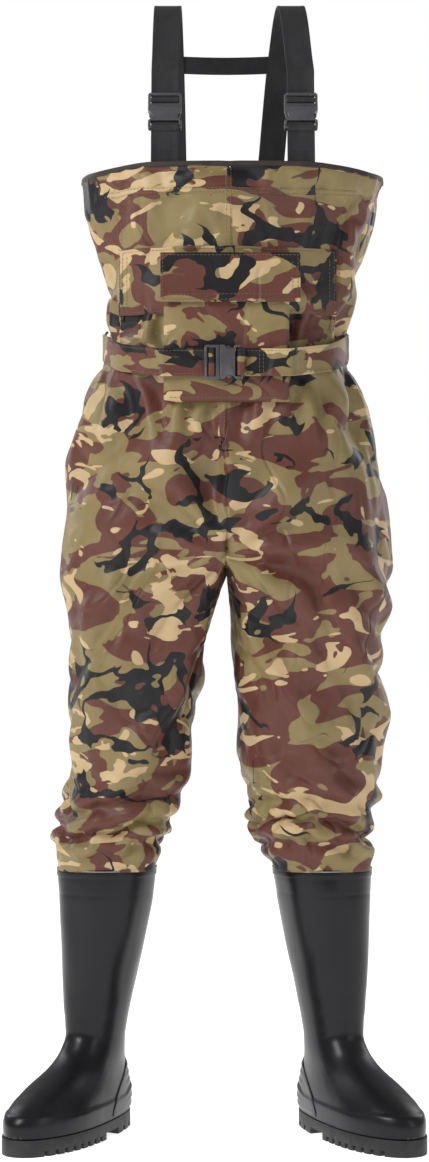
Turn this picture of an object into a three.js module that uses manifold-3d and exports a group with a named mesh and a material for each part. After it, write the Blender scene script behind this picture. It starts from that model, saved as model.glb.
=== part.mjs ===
// Chest waders: a fabric shell welded to moulded boots, with shoulder straps, belt and chest pocket.
// Millimetres, +Z up. The front faces -Y and the wearer's left is +X.
// The origin is on the ground, under the middle of the overall box.
import * as THREE from "three";
import { mergeVertices } from "three/addons/utils/BufferGeometryUtils.js";
import Module from "manifold-3d";

const wasm = await Module();
wasm.setup();

// ---- driving dimensions ----
const GAP = 0.3; // clearance between pieces that touch
const SKIN_GAP = 1.3; // clearance of a curved piece laid on a curved wall
const FABRIC = 2.4; // fabric wall
const TRIM = 1.6; // thin sewn-on pieces
const WEB = 2.4; // webbing thickness
const RING_STEPS = 36; // points round the body and each leg
const SEAM_ANGLE = THREE.MathUtils.degToRad(0.03); // half the slit between two panels

const RIM_Z = 1284; // top of the bib panels
const HEM_HEIGHT = 6; // binding over the rim
const WAIST_Z = 1056; // belt centre at the sides
const CROTCH_Z = 768; // where the legs part
const KNEE_Z = 500; // knee hinge
const KNEE_SLEEVE = 150; // height of the fabric that folds at the knee
const KNEE_AXIS_Y = 26; // behind the leg's middle, so that the standing leg rests straight
const BOOT_TOP_Z = 358; // top of the boot leg

// Body stations: height, sideways centre, half width, depth to the front and to the back.
const BODY = [
  { z: RIM_Z + HEM_HEIGHT + 2, x: 24, half: 203, front: 130, back: 122 },
  { z: 1213, x: 23, half: 182, front: 127, back: 116 },
  { z: 1120, x: 21, half: 170, front: 122, back: 104 },
  { z: WAIST_Z + 28, x: 18, half: 157, front: 118, back: 97 },
  { z: WAIST_Z - 28, x: 15, half: 159, front: 119, back: 98 },
  { z: 986, x: 14, half: 184, front: 122, back: 112 },
  { z: 853, x: 16, half: 210, front: 126, back: 130 },
  { z: CROTCH_Z, x: 17, half: 216, front: 118, back: 122 },
];
const BODY_ROUND = 2.5; // exponent of the body's oval

// Leg stations: height, sideways centre, half width, depth to the front and to the back.
const LEG_TOP_BLEND = 90; // height over which the half-body section turns into an oval leg
const LEFT_LEG = [
  { z: CROTCH_Z, x: 121, half: 111, front: 118, back: 122 },
  { z: 720, x: 121, half: 107, front: 108, back: 112 },
  { z: 586, x: 129, half: 99, front: 92, back: 98 },
  { z: KNEE_Z, x: 129, half: 89, front: 82, back: 94 },
  { z: BOOT_TOP_Z + 82, x: 132, half: 79, front: 68, back: 98 },
  { z: BOOT_TOP_Z + 42, x: 138, half: 71, front: 53, back: 103 },
];
const RIGHT_LEG = [
  { z: CROTCH_Z, x: -95, half: 103, front: 118, back: 122 },
  { z: 720, x: -97, half: 99, front: 108, back: 112 },
  { z: 586, x: -111, half: 87, front: 92, back: 98 },
  { z: KNEE_Z, x: -120, half: 76, front: 82, back: 94 },
  { z: BOOT_TOP_Z + 82, x: -132, half: 72, front: 68, back: 98 },
  { z: BOOT_TOP_Z + 42, x: -142, half: 68, front: 53, back: 103 },
];

// Boots, in a frame with the ankle on the axis and the toe towards -Y.
const ANKLE_X = 160;
const ANKLE_Y = 34;
const TOE_OUT = THREE.MathUtils.degToRad(29);
const BOOT_LEAN = -15; // how far the boot leg's top stands inside the ankle
const BOOT_WALL = 4;
const SOLE_FOOT = 22; // forefoot sole, cleats included
const CLEAT = 7; // cleat height
const CLEAT_PITCH = 17;
const GROOVE = 6; // gap between cleats
const SOLE_EDGE = 14; // uncut sole at the toe and behind the arch
const HEEL_LENGTH = 78; // heel block
const HEEL_NOTCHES = [24, 50]; // behind the heel block's front edge
const ARCH_LENGTH = 42; // gap in front of the heel block
const ARCH_RISE = 9; // its height
const FOOT_FRONT = 212; // ankle to toe tip
const FOOT_BACK = 72; // ankle to heel
const FOOT_HALF = 51; // half width at the ball
const HEEL_HALF = 36; // half width at the heel
const BOOT = [
  { z: SOLE_FOOT + GAP, front: 208, back: 70, half: FOOT_HALF - 2 },
  { z: 45, front: 211, back: 72, half: FOOT_HALF },
  { z: 62, front: 198, back: 71, half: FOOT_HALF - 3 },
  { z: 78, front: 150, back: 66, half: 42 },
  { z: 92, front: 102, back: 60, half: 37 },
  { z: 110, front: 68, back: 54, half: 35 },
  { z: 133, front: 53, back: 51, half: 34.5 },
  { z: 160, front: 53, back: 53, half: 38 },
  { z: 190, front: 56, back: 57, half: 43 },
  { z: BOOT_TOP_Z - 118, front: 61, back: 65, half: 50 },
  { z: BOOT_TOP_Z - 43, front: 66, back: 72, half: 59 },
  { z: BOOT_TOP_Z, front: 67, back: 74, half: 63 },
];
const TOP_BAND = 14; // height of the band over the weld
const TOP_BAND_DROP = 12; // how much of it lies on the boot
const COUNTER_HEIGHT = 78; // heel counter
const COUNTER_THICK = 2.5;

// Webbing and buckles.
const WEB_WIDTH = 36;
const BUCKLE_WIDTH = WEB_WIDTH + 8;
const BUCKLE_THICK = 12;
const SOCKET_LENGTH = 30;
const LADDER_LENGTH = 20;
const LADDER_THICK = 5;
const BAR = 4; // bars of the ladder and of the socket
const SOCKET_WALL = 3;
const PRONG_LENGTH = 19;
const PRONG_WIDTH = 4.5;
const PRONG_THICK = 4;
const BARB = 1.6; // how far a prong stands into its side window
const TONGUE_WIDTH = 8;

// Straps.
const STRAP_X = { left: 113, right: -65 }; // at the front
const STRAP_BACK_X = { left: 76, right: -56 };
const STRAP_LEAN = THREE.MathUtils.degToRad(14);
const STRAP_RISE = 223; // strap tops above the rim
const ANCHOR_DROP = 44; // how far the anchor web reaches down inside the bib
const BACK_DROP = 48; // how far the strap's end reaches down inside the back
const BUCKLE_RISE = 45; // rim to the socket's bar
const CROSS_STRAP_RISE = 160; // cross strap above the rim
const CROSS_STRAP_HEIGHT = 25;
const CROSS_STRAP_END = 14; // how far it runs past the middle of each strap
const STRAP_CROWN_Y = -12; // where a strap is highest
const STRAP_REAR = { y: 74, drop: 58 }; // where it turns down behind the shoulder
const LADDER_TRAVEL = 30; // travel that frees the prongs

// Belt.
const BELT_SAG = 30; // drop of the belt's middle at the front
const BELT_EASE = 3; // how far it stands off the shell
const BELT_BUCKLE_X = 12;
const BELT_FLAT_LEFT = 62; // flat stretch either side of the buckle
const BELT_FLAT_RIGHT = 74;
const LOOP_ANGLES = { left: 8, right: 172, back: 90 };
const LOOP_WIDTH = 12;
const LOOP_HEIGHT = WEB_WIDTH + 14;

// Chest pocket and the panel behind it.
const POCKET = { left: 97, right: -66, top: 1148, bottom: 975 };
const POCKET_INSIDE = 5.5;
const POCKET_WALL = 1.6;
const FLAP = { left: 111, right: -70, top: 1168, height: 64 };
const FLAP_THICK = 2;
const TAPE = { width: 60, height: 20, thick: 1.2, drop: 30 };
const WARMER = { left: 158, right: -122, top: 1178, bottom: 1092 };

// ---- small helpers ----
const lerp = THREE.MathUtils.lerp;

// Value of every field of a station table at height z.
function stationAt(table, z) {
  const rows = [...table].sort((a, b) => a.z - b.z);
  const top = rows.findIndex((row) => row.z >= z);
  if (top === -1) return { ...rows.at(-1), z };
  if (top === 0) return { ...rows[0], z };
  const low = rows[top - 1];
  const high = rows[top];
  const t = THREE.MathUtils.smoothstep(z, low.z, high.z) * 0.5 + ((z - low.z) / (high.z - low.z)) * 0.5;
  const row = { z };
  for (const key of Object.keys(low).filter((name) => name !== "z")) row[key] = lerp(low[key], high[key], t);
  return row;
}

// Point of a station's oval at an angle from +X (90 degrees is the back), grown by an offset.
function ovalPoint(s, angle, grow = 0, round = BODY_ROUND) {
  const c = Math.cos(angle);
  const n = Math.sin(angle);
  const depth = (n < 0 ? s.front : s.back) + grow;
  const x = (s.half + grow) * Math.sign(c) * Math.abs(c) ** (2 / round);
  const y = depth * Math.sign(n) * Math.abs(n) ** (2 / round);
  return new THREE.Vector3((s.x ?? 0) + x, y, s.z);
}

function degrees(a) {
  return THREE.MathUtils.degToRad(a);
}

// Evenly spaced numbers from a to b, both included.
function spread(a, b, steps) {
  return Array.from({ length: steps + 1 }, (_, i) => lerp(a, b, i / steps));
}

// Closed surface through a grid of points; rows run round, and caps are filled as fans or bands.
function gridGeometry(rows, { rowsClose = false, caps = null }) {
  const count = rows[0].length;
  const positions = rows.flat().flatMap((p) => [p.x, p.y, p.z]);
  const index = [];
  const lastRow = rowsClose ? rows.length : rows.length - 1;
  for (let r = 0; r < lastRow; r += 1) {
    const next = (r + 1) % rows.length;
    for (let i = 0; i < count; i += 1) {
      const j = (i + 1) % count;
      index.push(r * count + i, r * count + j, next * count + j);
      index.push(r * count + i, next * count + j, next * count + i);
    }
  }
  if (caps) {
    const top = (rows.length - 1) * count;
    for (const [a, b, c] of caps(count)) {
      index.push(a, c, b);
      index.push(top + a, top + b, top + c);
    }
  }
  return finishGeometry(positions, index);
}

// Faces turned outwards, whichever way the rows ran.
function finishGeometry(positions, index) {
  const corner = (i) => new THREE.Vector3().fromArray(positions, index[i] * 3);
  let volume = 0;
  for (let i = 0; i < index.length; i += 3) volume += corner(i).dot(corner(i + 1).cross(corner(i + 2)));
  if (volume < 0) index.reverse();
  const geometry = new THREE.BufferGeometry();
  geometry.setAttribute("position", new THREE.Float32BufferAttribute(positions, 3));
  geometry.setIndex(index);
  geometry.computeVertexNormals();
  return geometry;
}

// Cap of a section whose first half is its outer side and second half its inner side, run backwards.
function bandCap(count) {
  const triangles = [];
  for (let i = 0; i < count / 2 - 1; i += 1) {
    triangles.push([i, i + 1, count - 2 - i]);
    triangles.push([i, count - 2 - i, count - 1 - i]);
  }
  return triangles;
}

// Cap of a convex section.
function fanCap(count) {
  return Array.from({ length: count - 2 }, (_, i) => [0, i + 1, i + 2]);
}

// Open tube with a wall: rings run up the outside and down the inside.
function tubeGeometry(levels, ring, wall) {
  const outside = levels.map((z) => ring(z, 0));
  const inside = levels.map((z) => ring(z, -wall)).reverse();
  return gridGeometry([...outside, ...inside], { rowsClose: true });
}

// Part of a tube between two angles.
function panelGeometry(levels, curve, wall) {
  const rows = levels.map((z) => [...curve(z, 0), ...curve(z, -wall).reverse()]);
  return gridGeometry(rows, { caps: bandCap });
}

// Flat band along a path in space; across is the direction of its width.
function bandAlong(path, normals, across, width, thick) {
  const rows = path.map((p, i) => {
    const side = across(i).clone().multiplyScalar(width / 2);
    const face = normals[i].clone().multiplyScalar(thick / 2);
    return [
      p.clone().add(side).add(face),
      p.clone().sub(side).add(face),
      p.clone().sub(side).sub(face),
      p.clone().add(side).sub(face),
    ];
  });
  return gridGeometry(rows, { caps: fanCap });
}

// Same geometry with one vertex per corner.
function mergedGeometry(geometry) {
  const bare = geometry.clone();
  bare.deleteAttribute("normal");
  bare.deleteAttribute("uv");
  return mergeVertices(bare, 1e-4);
}

function solidOf(geometry) {
  const merged = mergedGeometry(geometry);
  const vertProperties = new Float32Array(merged.attributes.position.array);
  const triVerts = new Uint32Array(merged.index.array);
  return new wasm.Manifold(new wasm.Mesh({ numProp: 3, vertProperties, triVerts }));
}

function geometryOf(solid) {
  const mesh = solid.getMesh();
  const geometry = new THREE.BufferGeometry();
  geometry.setAttribute("position", new THREE.BufferAttribute(new Float32Array(mesh.vertProperties), 3));
  geometry.setIndex(new THREE.BufferAttribute(new Uint32Array(mesh.triVerts), 1));
  geometry.computeVertexNormals();
  return geometry;
}

// Box from its lowest and highest corners.
function blockGeometry(low, high) {
  const size = high.map((value, i) => value - low[i]);
  const geometry = new THREE.BoxGeometry(...size);
  return geometry.translate(...low.map((value, i) => value + size[i] / 2));
}

function block(low, high) {
  return solidOf(blockGeometry(low, high));
}

// ---- materials ----
const LOOKS = {
  camo: { color: "#8f8058", roughness: 0.45, metalness: 0 },
  camoTrim: { color: "#6b5a45", roughness: 0.5, metalness: 0 },
  webbing: { color: "#1d1d1f", roughness: 0.75, metalness: 0 },
  plastic: { color: "#2a2a2d", roughness: 0.35, metalness: 0 },
  pvc: { color: "#161618", roughness: 0.38, metalness: 0 },
  sole: { color: "#1c1b1b", roughness: 0.7, metalness: 0 },
  felt: { color: "#3a3835", roughness: 0.95, metalness: 0 },
};

function piece(name, look, geometry) {
  const mesh = new THREE.Mesh(geometry, new THREE.MeshStandardMaterial(LOOKS[look]));
  mesh.name = name;
  return mesh;
}

const waders = new THREE.Group();

// ---- fabric shell ----
const bodyAt = (z) => stationAt(BODY, z);

// Arc of the body's wall between two angles at one height.
function bodyArc(from, to, steps) {
  return (z, grow) => spread(from, to, steps).map((angle) => ovalPoint(bodyAt(z), angle, grow));
}

// Front and back bib panels, with side seams.
function bibPanels() {
  const levels = [WAIST_Z + GAP / 2, 1075, WARMER.bottom, 1120, 1150, WARMER.top, 1217, 1250, RIM_Z];
  const steps = RING_STEPS / 2;
  const front = bodyArc(Math.PI + SEAM_ANGLE, 2 * Math.PI - SEAM_ANGLE, steps);
  const back = bodyArc(SEAM_ANGLE, Math.PI - SEAM_ANGLE, steps);
  waders.add(piece("bib_front", "camo", panelGeometry(levels, front, FABRIC)));
  waders.add(piece("bib_back", "camo", panelGeometry(levels, back, FABRIC)));
}

// Seat halves, from the waist to the crotch, joined along the centre seam.
function seatHalves() {
  const levels = [CROTCH_Z + GAP, 800, 853, 920, 986, 1010, WAIST_Z - 28, WAIST_Z - GAP / 2];
  const steps = RING_STEPS / 2;
  const quarter = Math.PI / 2;
  const left = bodyArc(-quarter + SEAM_ANGLE, quarter - SEAM_ANGLE, steps);
  const right = bodyArc(quarter + SEAM_ANGLE, 3 * quarter - SEAM_ANGLE, steps);
  waders.add(piece("seat_left", "camo", panelGeometry(levels, left, FABRIC)));
  waders.add(piece("seat_right", "camo", panelGeometry(levels, right, FABRIC)));
}

// Leg section: half of the body's oval with a straight inner side at the crotch, an oval lower down.
function legRing(table, side) {
  return (z, grow) => {
    const share = THREE.MathUtils.smoothstep(z, CROTCH_Z - LEG_TOP_BLEND, CROTCH_Z);
    const leg = stationAt(table, z);
    const body = bodyAt(CROTCH_Z);
    return spread(0, 2 * Math.PI, RING_STEPS).slice(0, -1).map((angle) => {
      const oval = ovalPoint(leg, angle, grow, 2.2);
      const half = ovalPoint({ ...body, z }, angle, grow);
      const inner = body.x + side * (1 - grow);
      half.x = side > 0 ? Math.max(half.x, inner) : Math.min(half.x, inner);
      return oval.lerp(half, share);
    });
  };
}

function legs() {
  const sleeveTop = KNEE_Z + KNEE_SLEEVE / 2;
  const sleeveBottom = KNEE_Z - KNEE_SLEEVE / 2;
  const thigh = [sleeveTop + GAP, 620, 680, 720, 745, CROTCH_Z];
  const knee = spread(sleeveBottom + GAP, sleeveTop, 4);
  const shin = [BOOT_TOP_Z + GAP, BOOT_TOP_Z + 27, BOOT_TOP_Z + 47, sleeveBottom];
  for (const [name, table, side] of [["left", LEFT_LEG, 1], ["right", RIGHT_LEG, -1]]) {
    const boot = bootTopStation(side);
    const ring = legRing([...table, boot], side);
    waders.add(piece(`thigh_${name}`, "camo", tubeGeometry(thigh, ring, FABRIC)));
    waders.add(piece(`knee_${name}`, "camo", tubeGeometry(knee, ring, FABRIC)));
    waders.add(piece(`shin_${name}`, "camo", tubeGeometry(shin, ring, FABRIC)));
  }
}

// Leg station that meets the boot's top.
function bootTopStation(side) {
  const top = BOOT.at(-1);
  return {
    z: BOOT_TOP_Z,
    x: side * (ANKLE_X + BOOT_LEAN),
    half: top.half + 2,
    front: top.front - ANKLE_Y + 4,
    back: top.back + ANKLE_Y + 2,
  };
}

// Binding over the bib's rim.
function bibHem() {
  const ring = (z, offset) => {
    const angles = spread(0, 2 * Math.PI, 2 * RING_STEPS).slice(0, -1);
    return angles.map((angle) => ovalPoint(bodyAt(z), angle, HEM_PROUD + offset));
  };
  const levels = [RIM_Z + GAP, RIM_Z + HEM_HEIGHT];
  waders.add(piece("bib_hem", "camoTrim", tubeGeometry(levels, ring, FABRIC + 2 * HEM_PROUD)));
}

// ---- boots ----
// Outline of the foot or boot leg at one height, in the boot's own frame.
function bootRing(z, grow, from = 0, to = 2 * Math.PI, steps = RING_STEPS) {
  const s = stationAt(BOOT, z);
  const lean = BOOT_LEAN * THREE.MathUtils.smoothstep(z, 133, BOOT_TOP_Z);
  const footShare = 1 - THREE.MathUtils.smoothstep(z, 68, 150);
  const centre = (s.back - s.front) / 2;
  const length = (s.back + s.front) / 2 + grow;
  return spread(from, to, steps).map((angle) => {
    const c = Math.cos(angle);
    const n = Math.sin(angle);
    const y = length * Math.sign(n) * Math.abs(n) ** 0.88;
    const heelward = THREE.MathUtils.smoothstep(y, -length * 0.5, length);
    const taper = 1 - footShare * (1 - HEEL_HALF / FOOT_HALF) * heelward;
    const x = (s.half * taper + grow) * Math.sign(c) * Math.abs(c) ** 0.88;
    return new THREE.Vector3(x + lean, centre + y, z);
  });
}

function fullRing(z, grow) {
  return bootRing(z, grow).slice(0, -1);
}

// Outline of the sole, grown past the boot's widest low section.
function soleOutline(grow) {
  const points = fullRing(BOOT[1].z, grow);
  return new THREE.Shape(points.map((p) => new THREE.Vector2(p.x, p.y)));
}

function bootUpper() {
  const levels = BOOT.map((s) => s.z);
  return tubeGeometry(levels, fullRing, BOOT_WALL);
}

// Outsole: a slab with a heel block, an arch gap and cross cleats under the forefoot.
function outsole() {
  const slab = solidOf(
    new THREE.ExtrudeGeometry(soleOutline(1), { depth: SOLE_FOOT, bevelEnabled: false }),
  );
  const wide = FOOT_HALF + 20;
  const heelFront = FOOT_BACK - HEEL_LENGTH;
  const archFront = heelFront - ARCH_LENGTH;
  let sole = slab.subtract(block([-wide, archFront, -1], [wide, heelFront, ARCH_RISE]));
  for (let y = archFront - SOLE_EDGE; y > -FOOT_FRONT + SOLE_EDGE; y -= CLEAT_PITCH) {
    sole = sole.subtract(block([-wide, y - GROOVE, -1], [wide, y, CLEAT]));
  }
  for (const y of HEEL_NOTCHES.map((behind) => heelFront + behind)) {
    sole = sole.subtract(block([-wide, y - GROOVE / 2, -1], [wide, y + GROOVE / 2, CLEAT]));
  }
  return geometryOf(sole);
}

function insole() {
  const z = SOLE_FOOT + GAP;
  const rows = [z, z + 4].map((level) => fullRing(level, -BOOT_WALL - 1));
  return gridGeometry(rows, { caps: fanCap });
}

// Raised counter round the heel, higher at the back than at its ends.
function heelCounter() {
  const rows = spread(0, 1, 5).map((t) => {
    const curve = (grow) => spread(20, 160, 14).map((a) => {
      const reach = Math.sin(degrees((a - 20) / 140 * 180)) * 0.75 + 0.25;
      const z = SOLE_FOOT + 4 + t * COUNTER_HEIGHT * reach;
      const angle = degrees(a);
      return bootRing(z, grow, angle, angle, 1)[0];
    });
    return [...curve(SKIN_GAP + COUNTER_THICK), ...curve(SKIN_GAP).reverse()];
  });
  return gridGeometry(rows, { caps: bandCap });
}

function boots() {
  for (const [name, side] of [["left", 1], ["right", -1]]) {
    const foot = new THREE.Group();
    foot.position.set(side * ANKLE_X, ANKLE_Y, 0);
    const mirror = new THREE.Matrix4().makeScale(side, 1, 1);
    const turn = new THREE.Matrix4().makeRotationZ(side * TOE_OUT);
    const place = new THREE.Matrix4().multiply(turn).multiply(mirror);
    for (const [part, look, geometry] of [
      [`boot_${name}`, "pvc", bootUpper()],
      [`outsole_${name}`, "sole", outsole()],
      [`insole_${name}`, "felt", insole()],
      [`heel_counter_${name}`, "pvc", heelCounter()],
    ]) {
      foot.add(piece(part, look, placed(geometry, place)));
    }
    waders.add(foot);
    waders.add(piece(`top_band_${name}`, "pvc", topBand(side)));
  }
}

// Geometry moved by a matrix, with its faces still outwards.
function placed(geometry, matrix) {
  const moved = geometry.clone().applyMatrix4(matrix);
  return finishGeometry([...moved.attributes.position.array], [...moved.index.array]);
}

// Band over the weld: it wraps both the boot's top and the fabric's end.
function topBand(side) {
  const turn = new THREE.Matrix4().makeRotationZ(side * TOE_OUT);
  const shift = new THREE.Vector3(side * ANKLE_X, ANKLE_Y, 0);
  const bottom = BOOT_TOP_Z - TOP_BAND_DROP;
  const legTable = [...(side > 0 ? LEFT_LEG : RIGHT_LEG), bootTopStation(side)];
  const fabric = legRing(legTable, side);
  const reach = (ring, angle) => {
    const centre = new THREE.Vector3(side * (ANKLE_X + BOOT_LEAN), ANKLE_Y, 0);
    const along = new THREE.Vector2(Math.cos(angle), Math.sin(angle));
    return Math.max(...ring.map((p) => (p.x - centre.x) * along.x + (p.y - centre.y) * along.y));
  };
  const bootPoints = (z) => fullRing(z, 0).map((p) => {
    return new THREE.Vector3(p.x * side, p.y, p.z).applyMatrix4(turn).add(shift);
  });
  const bootSide = [...bootPoints(BOOT_TOP_Z), ...bootPoints(bottom)];
  const rim = [...bootSide, ...fabric(BOOT_TOP_Z, 0), ...fabric(bottom + TOP_BAND, 0)];
  const angles = spread(0, 2 * Math.PI, 2 * RING_STEPS).slice(0, -1);
  const outline = angles.map((angle) => reach(rim, angle));
  const ring = (z, grow) => angles.map((angle, i) => {
    const next = outline[(i + 1) % outline.length];
    const before = outline.at(i - 1);
    const step = 2 * (angles[1] - angles[0]);
    const slope = (next - before) / step;
    const r = outline[i] + grow;
    const x = side * (ANKLE_X + BOOT_LEAN) + r * Math.cos(angle) - slope * Math.sin(angle);
    const y = ANKLE_Y + r * Math.sin(angle) + slope * Math.cos(angle);
    return new THREE.Vector3(x, y, z);
  });
  return tubeGeometry([bottom, bottom + TOP_BAND], (z, grow) => ring(z, grow + SKIN_GAP + TRIM), TRIM);
}

// ---- pocket ----
// Foremost place of the shell over a stretch of height.
function foremost(bottom, top) {
  return -Math.max(...spread(bottom, top, 12).map((z) => bodyAt(z).front));
}

const WARMER_FACE = SKIN_GAP + TRIM; // the panel's outer face, out from the shell
const POCKET_BACK_Y = foremost(POCKET.bottom, WARMER.top) - WARMER_FACE - GAP;
const POCKET_FRONT_Y = POCKET_BACK_Y - 2 * POCKET_WALL - POCKET_INSIDE;
const TAPE_STACK = 2 * TAPE.thick + GAP;
const FLAP_FACE_Y = POCKET_FRONT_Y - GAP - TAPE_STACK - GAP;

// Angle at which the body's oval passes x, on the front.
function frontAngle(z, x) {
  const s = bodyAt(z);
  const share = THREE.MathUtils.clamp((x - s.x) / s.half, -1, 1);
  const c = Math.sign(share) * Math.abs(share) ** (BODY_ROUND / 2);
  return -Math.acos(c);
}

function handWarmer() {
  const levels = [WARMER.bottom, 1120, 1150, WARMER.top];
  const curve = (z, grow) => spread(WARMER.right, WARMER.left, 24).map((x) => {
    return ovalPoint(bodyAt(z), frontAngle(z, x), grow + WARMER_FACE);
  });
  waders.add(piece("hand_warmer_panel", "camo", panelGeometry(levels, curve, TRIM)));
}

// Patch pocket, open along its top.
function pocketPouch() {
  const outer = block(
    [POCKET.right, POCKET_FRONT_Y, POCKET.bottom],
    [POCKET.left, POCKET_BACK_Y, POCKET.top],
  );
  const inner = block(
    [POCKET.right + POCKET_WALL, POCKET_FRONT_Y + POCKET_WALL, POCKET.bottom + POCKET_WALL],
    [POCKET.left - POCKET_WALL, POCKET_BACK_Y - POCKET_WALL, POCKET.top + 1],
  );
  waders.add(piece("pocket_pouch", "camo", geometryOf(outer.subtract(inner))));
}

// Flap over the pocket's mouth, and the strip that joins it to the bib.
function pocketFlap() {
  const seamLow = FLAP.top - FLAP_THICK;
  const face = blockGeometry(
    [FLAP.right, FLAP_FACE_Y - FLAP_THICK, FLAP.top - FLAP.height],
    [FLAP.left, FLAP_FACE_Y, FLAP.top],
  );
  const seam = blockGeometry([FLAP.right, FLAP_FACE_Y + GAP, seamLow], [FLAP.left, POCKET_BACK_Y, FLAP.top]);
  waders.add(piece("pocket_flap", "camo", face));
  waders.add(piece("flap_seam", "camo", seam));
}

// Hook and loop tape that holds the flap shut.
function pocketTapes() {
  const middle = (FLAP.left + FLAP.right) / 2;
  const top = FLAP.top - TAPE.drop;
  const strip = (y) => blockGeometry(
    [middle - TAPE.width / 2, y - TAPE.thick, top - TAPE.height],
    [middle + TAPE.width / 2, y, top],
  );
  waders.add(piece("pocket_loop_tape", "felt", strip(POCKET_FRONT_Y - GAP)));
  waders.add(piece("flap_hook_tape", "felt", strip(POCKET_FRONT_Y - 2 * GAP - TAPE.thick)));
}

// ---- buckles ----
// Made with the webbing running along +Z and the outside towards -Y, centred on the webbing.
const HALF = BUCKLE_WIDTH / 2;
const SLOT = WEB + 4; // web slots, long enough for a turned web
const CAVITY_HALF = HALF - SOCKET_WALL;
const PRONG_X = CAVITY_HALF - PRONG_WIDTH / 2 - 1.2;
const LADDER_Z = SOCKET_LENGTH + GAP;
const LADDER_BEAM = 5;
const LADDER_SLOT = (LADDER_LENGTH - LADDER_BEAM - 2 * BAR) / 2;
const WINDOW = { low: SOCKET_LENGTH - 16.5, high: SOCKET_LENGTH - 8.5 };

function socketHalf() {
  const t = BUCKLE_THICK / 2;
  let socket = block([-HALF, -t, 0], [HALF, t, SOCKET_LENGTH]);
  const webHalf = WEB_WIDTH / 2 + 1;
  const floor = BAR + SLOT;
  socket = socket.subtract(block([-webHalf, -t - 1, BAR], [webHalf, t + 1, floor]));
  socket = socket.subtract(block([-HALF - 1, -t - 1, -1], [HALF + 1, -t + 3, BAR]));
  const room = PRONG_THICK / 2 + 0.6;
  socket = socket.subtract(block([-CAVITY_HALF, -room, floor + 2], [CAVITY_HALF, room, SOCKET_LENGTH + 1]));
  return socket.subtract(block([-HALF - 1, -room, WINDOW.low], [HALF + 1, room, WINDOW.high]));
}

function ladderHalf() {
  const t = LADDER_THICK / 2;
  const webHalf = WEB_WIDTH / 2 + 1;
  const top = LADDER_Z + LADDER_LENGTH;
  let ladder = block([-HALF, -t, LADDER_Z], [HALF, t, top]);
  const firstSlot = LADDER_Z + LADDER_BEAM;
  const secondSlot = firstSlot + LADDER_SLOT + BAR;
  for (const z of [firstSlot, secondSlot]) {
    ladder = ladder.subtract(block([-webHalf, -t - 1, z], [webHalf, t + 1, z + LADDER_SLOT]));
  }
  const tongue = block(
    [-TONGUE_WIDTH / 2, -PRONG_THICK / 2, LADDER_Z - PRONG_LENGTH + 2],
    [TONGUE_WIDTH / 2, PRONG_THICK / 2, LADDER_Z + 1],
  );
  return ladder.add(tongue);
}

// Prong: an arm with a barb that springs out into the socket's side window.
function prong(side) {
  const root = LADDER_Z - GAP;
  const tip = root - PRONG_LENGTH + 3.5;
  const inner = PRONG_X - PRONG_WIDTH / 2;
  const outer = PRONG_X + PRONG_WIDTH / 2;
  const shape = new THREE.Shape();
  shape.moveTo(inner, root);
  shape.lineTo(inner, tip + 2);
  shape.lineTo(inner + 2, tip - 1.5);
  shape.lineTo(outer, WINDOW.low + 0.5);
  shape.lineTo(CAVITY_HALF + BARB, WINDOW.low + 4);
  shape.lineTo(CAVITY_HALF + BARB, WINDOW.high - 0.4);
  shape.lineTo(outer, WINDOW.high - 0.4);
  shape.lineTo(outer, root);
  shape.closePath();
  const geometry = new THREE.ExtrudeGeometry(shape, { depth: PRONG_THICK, bevelEnabled: false });
  geometry.translate(0, 0, -PRONG_THICK / 2);
  const stand = new THREE.Matrix4().makeBasis(
    new THREE.Vector3(side, 0, 0),
    new THREE.Vector3(0, 0, 1),
    new THREE.Vector3(0, 1, 0),
  );
  return solidOf(placed(mergedGeometry(geometry), stand));
}

// The turn of webbing round the ladder's middle bar: it moves with the ladder.
function barTurn() {
  const barLow = LADDER_Z + LADDER_BEAM + LADDER_SLOT;
  const t = LADDER_THICK / 2;
  const webHalf = WEB_WIDTH / 2;
  const wrap = 1.3;
  const skin = GAP + wrap;
  const outer = block([-webHalf, -t - skin, barLow - skin], [webHalf, t, barLow + BAR + skin]);
  const inner = block([-webHalf - 1, -t - GAP, barLow - GAP], [webHalf + 1, t + 1, barLow + BAR + GAP]);
  return outer.subtract(inner);
}

// Buckle pieces placed in a turned group. The web slides along the group's z axis.
function addBuckle(name, frame) {
  const pieces = {
    [`${name}_socket`]: ["plastic", socketHalf()],
    [`${name}_ladder`]: ["plastic", ladderHalf()],
    [`${name}_prong_a`]: ["plastic", prong(1)],
    [`${name}_prong_b`]: ["plastic", prong(-1)],
    [`${name}_bar_turn`]: ["webbing", barTurn()],
  };
  for (const [node, [look, solid]] of Object.entries(pieces)) frame.add(piece(node, look, geometryOf(solid)));
}

// ---- shoulder straps ----
const RIM_TOP = RIM_Z + HEM_HEIGHT;
const HEM_PROUD = 1; // how far the binding stands off both sides of the wall
const ANCHOR_IN = FABRIC + HEM_PROUD + GAP + WEB / 2; // web centre, in from the shell's outer face

// Depth of the shell under a web at x, where it is least: both ends of the web, at the rim and below it.
function shellDepth(x, side, drop) {
  const levels = [RIM_TOP, RIM_TOP - drop];
  const edges = [x - WEB_WIDTH / 2, x + WEB_WIDTH / 2];
  const shares = levels.flatMap((z) => edges.map((edge) => {
    const s = bodyAt(z);
    const depth = side === "front" ? s.front : s.back;
    return (-ovalPoint(s, frontAngle(z, edge)).y / s.front) * depth;
  }));
  return (side === "front" ? -1 : 1) * Math.min(...shares);
}

// Middle of a web at the rim, just inside the wall.
function anchorPoint(side, x) {
  const depth = shellDepth(x, side, side === "front" ? ANCHOR_DROP : BACK_DROP);
  return new THREE.Vector3(x, depth - Math.sign(depth) * ANCHOR_IN, RIM_TOP);
}

const LEAN_DIRECTION = new THREE.Vector3(0, Math.sin(STRAP_LEAN), Math.cos(STRAP_LEAN));

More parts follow.
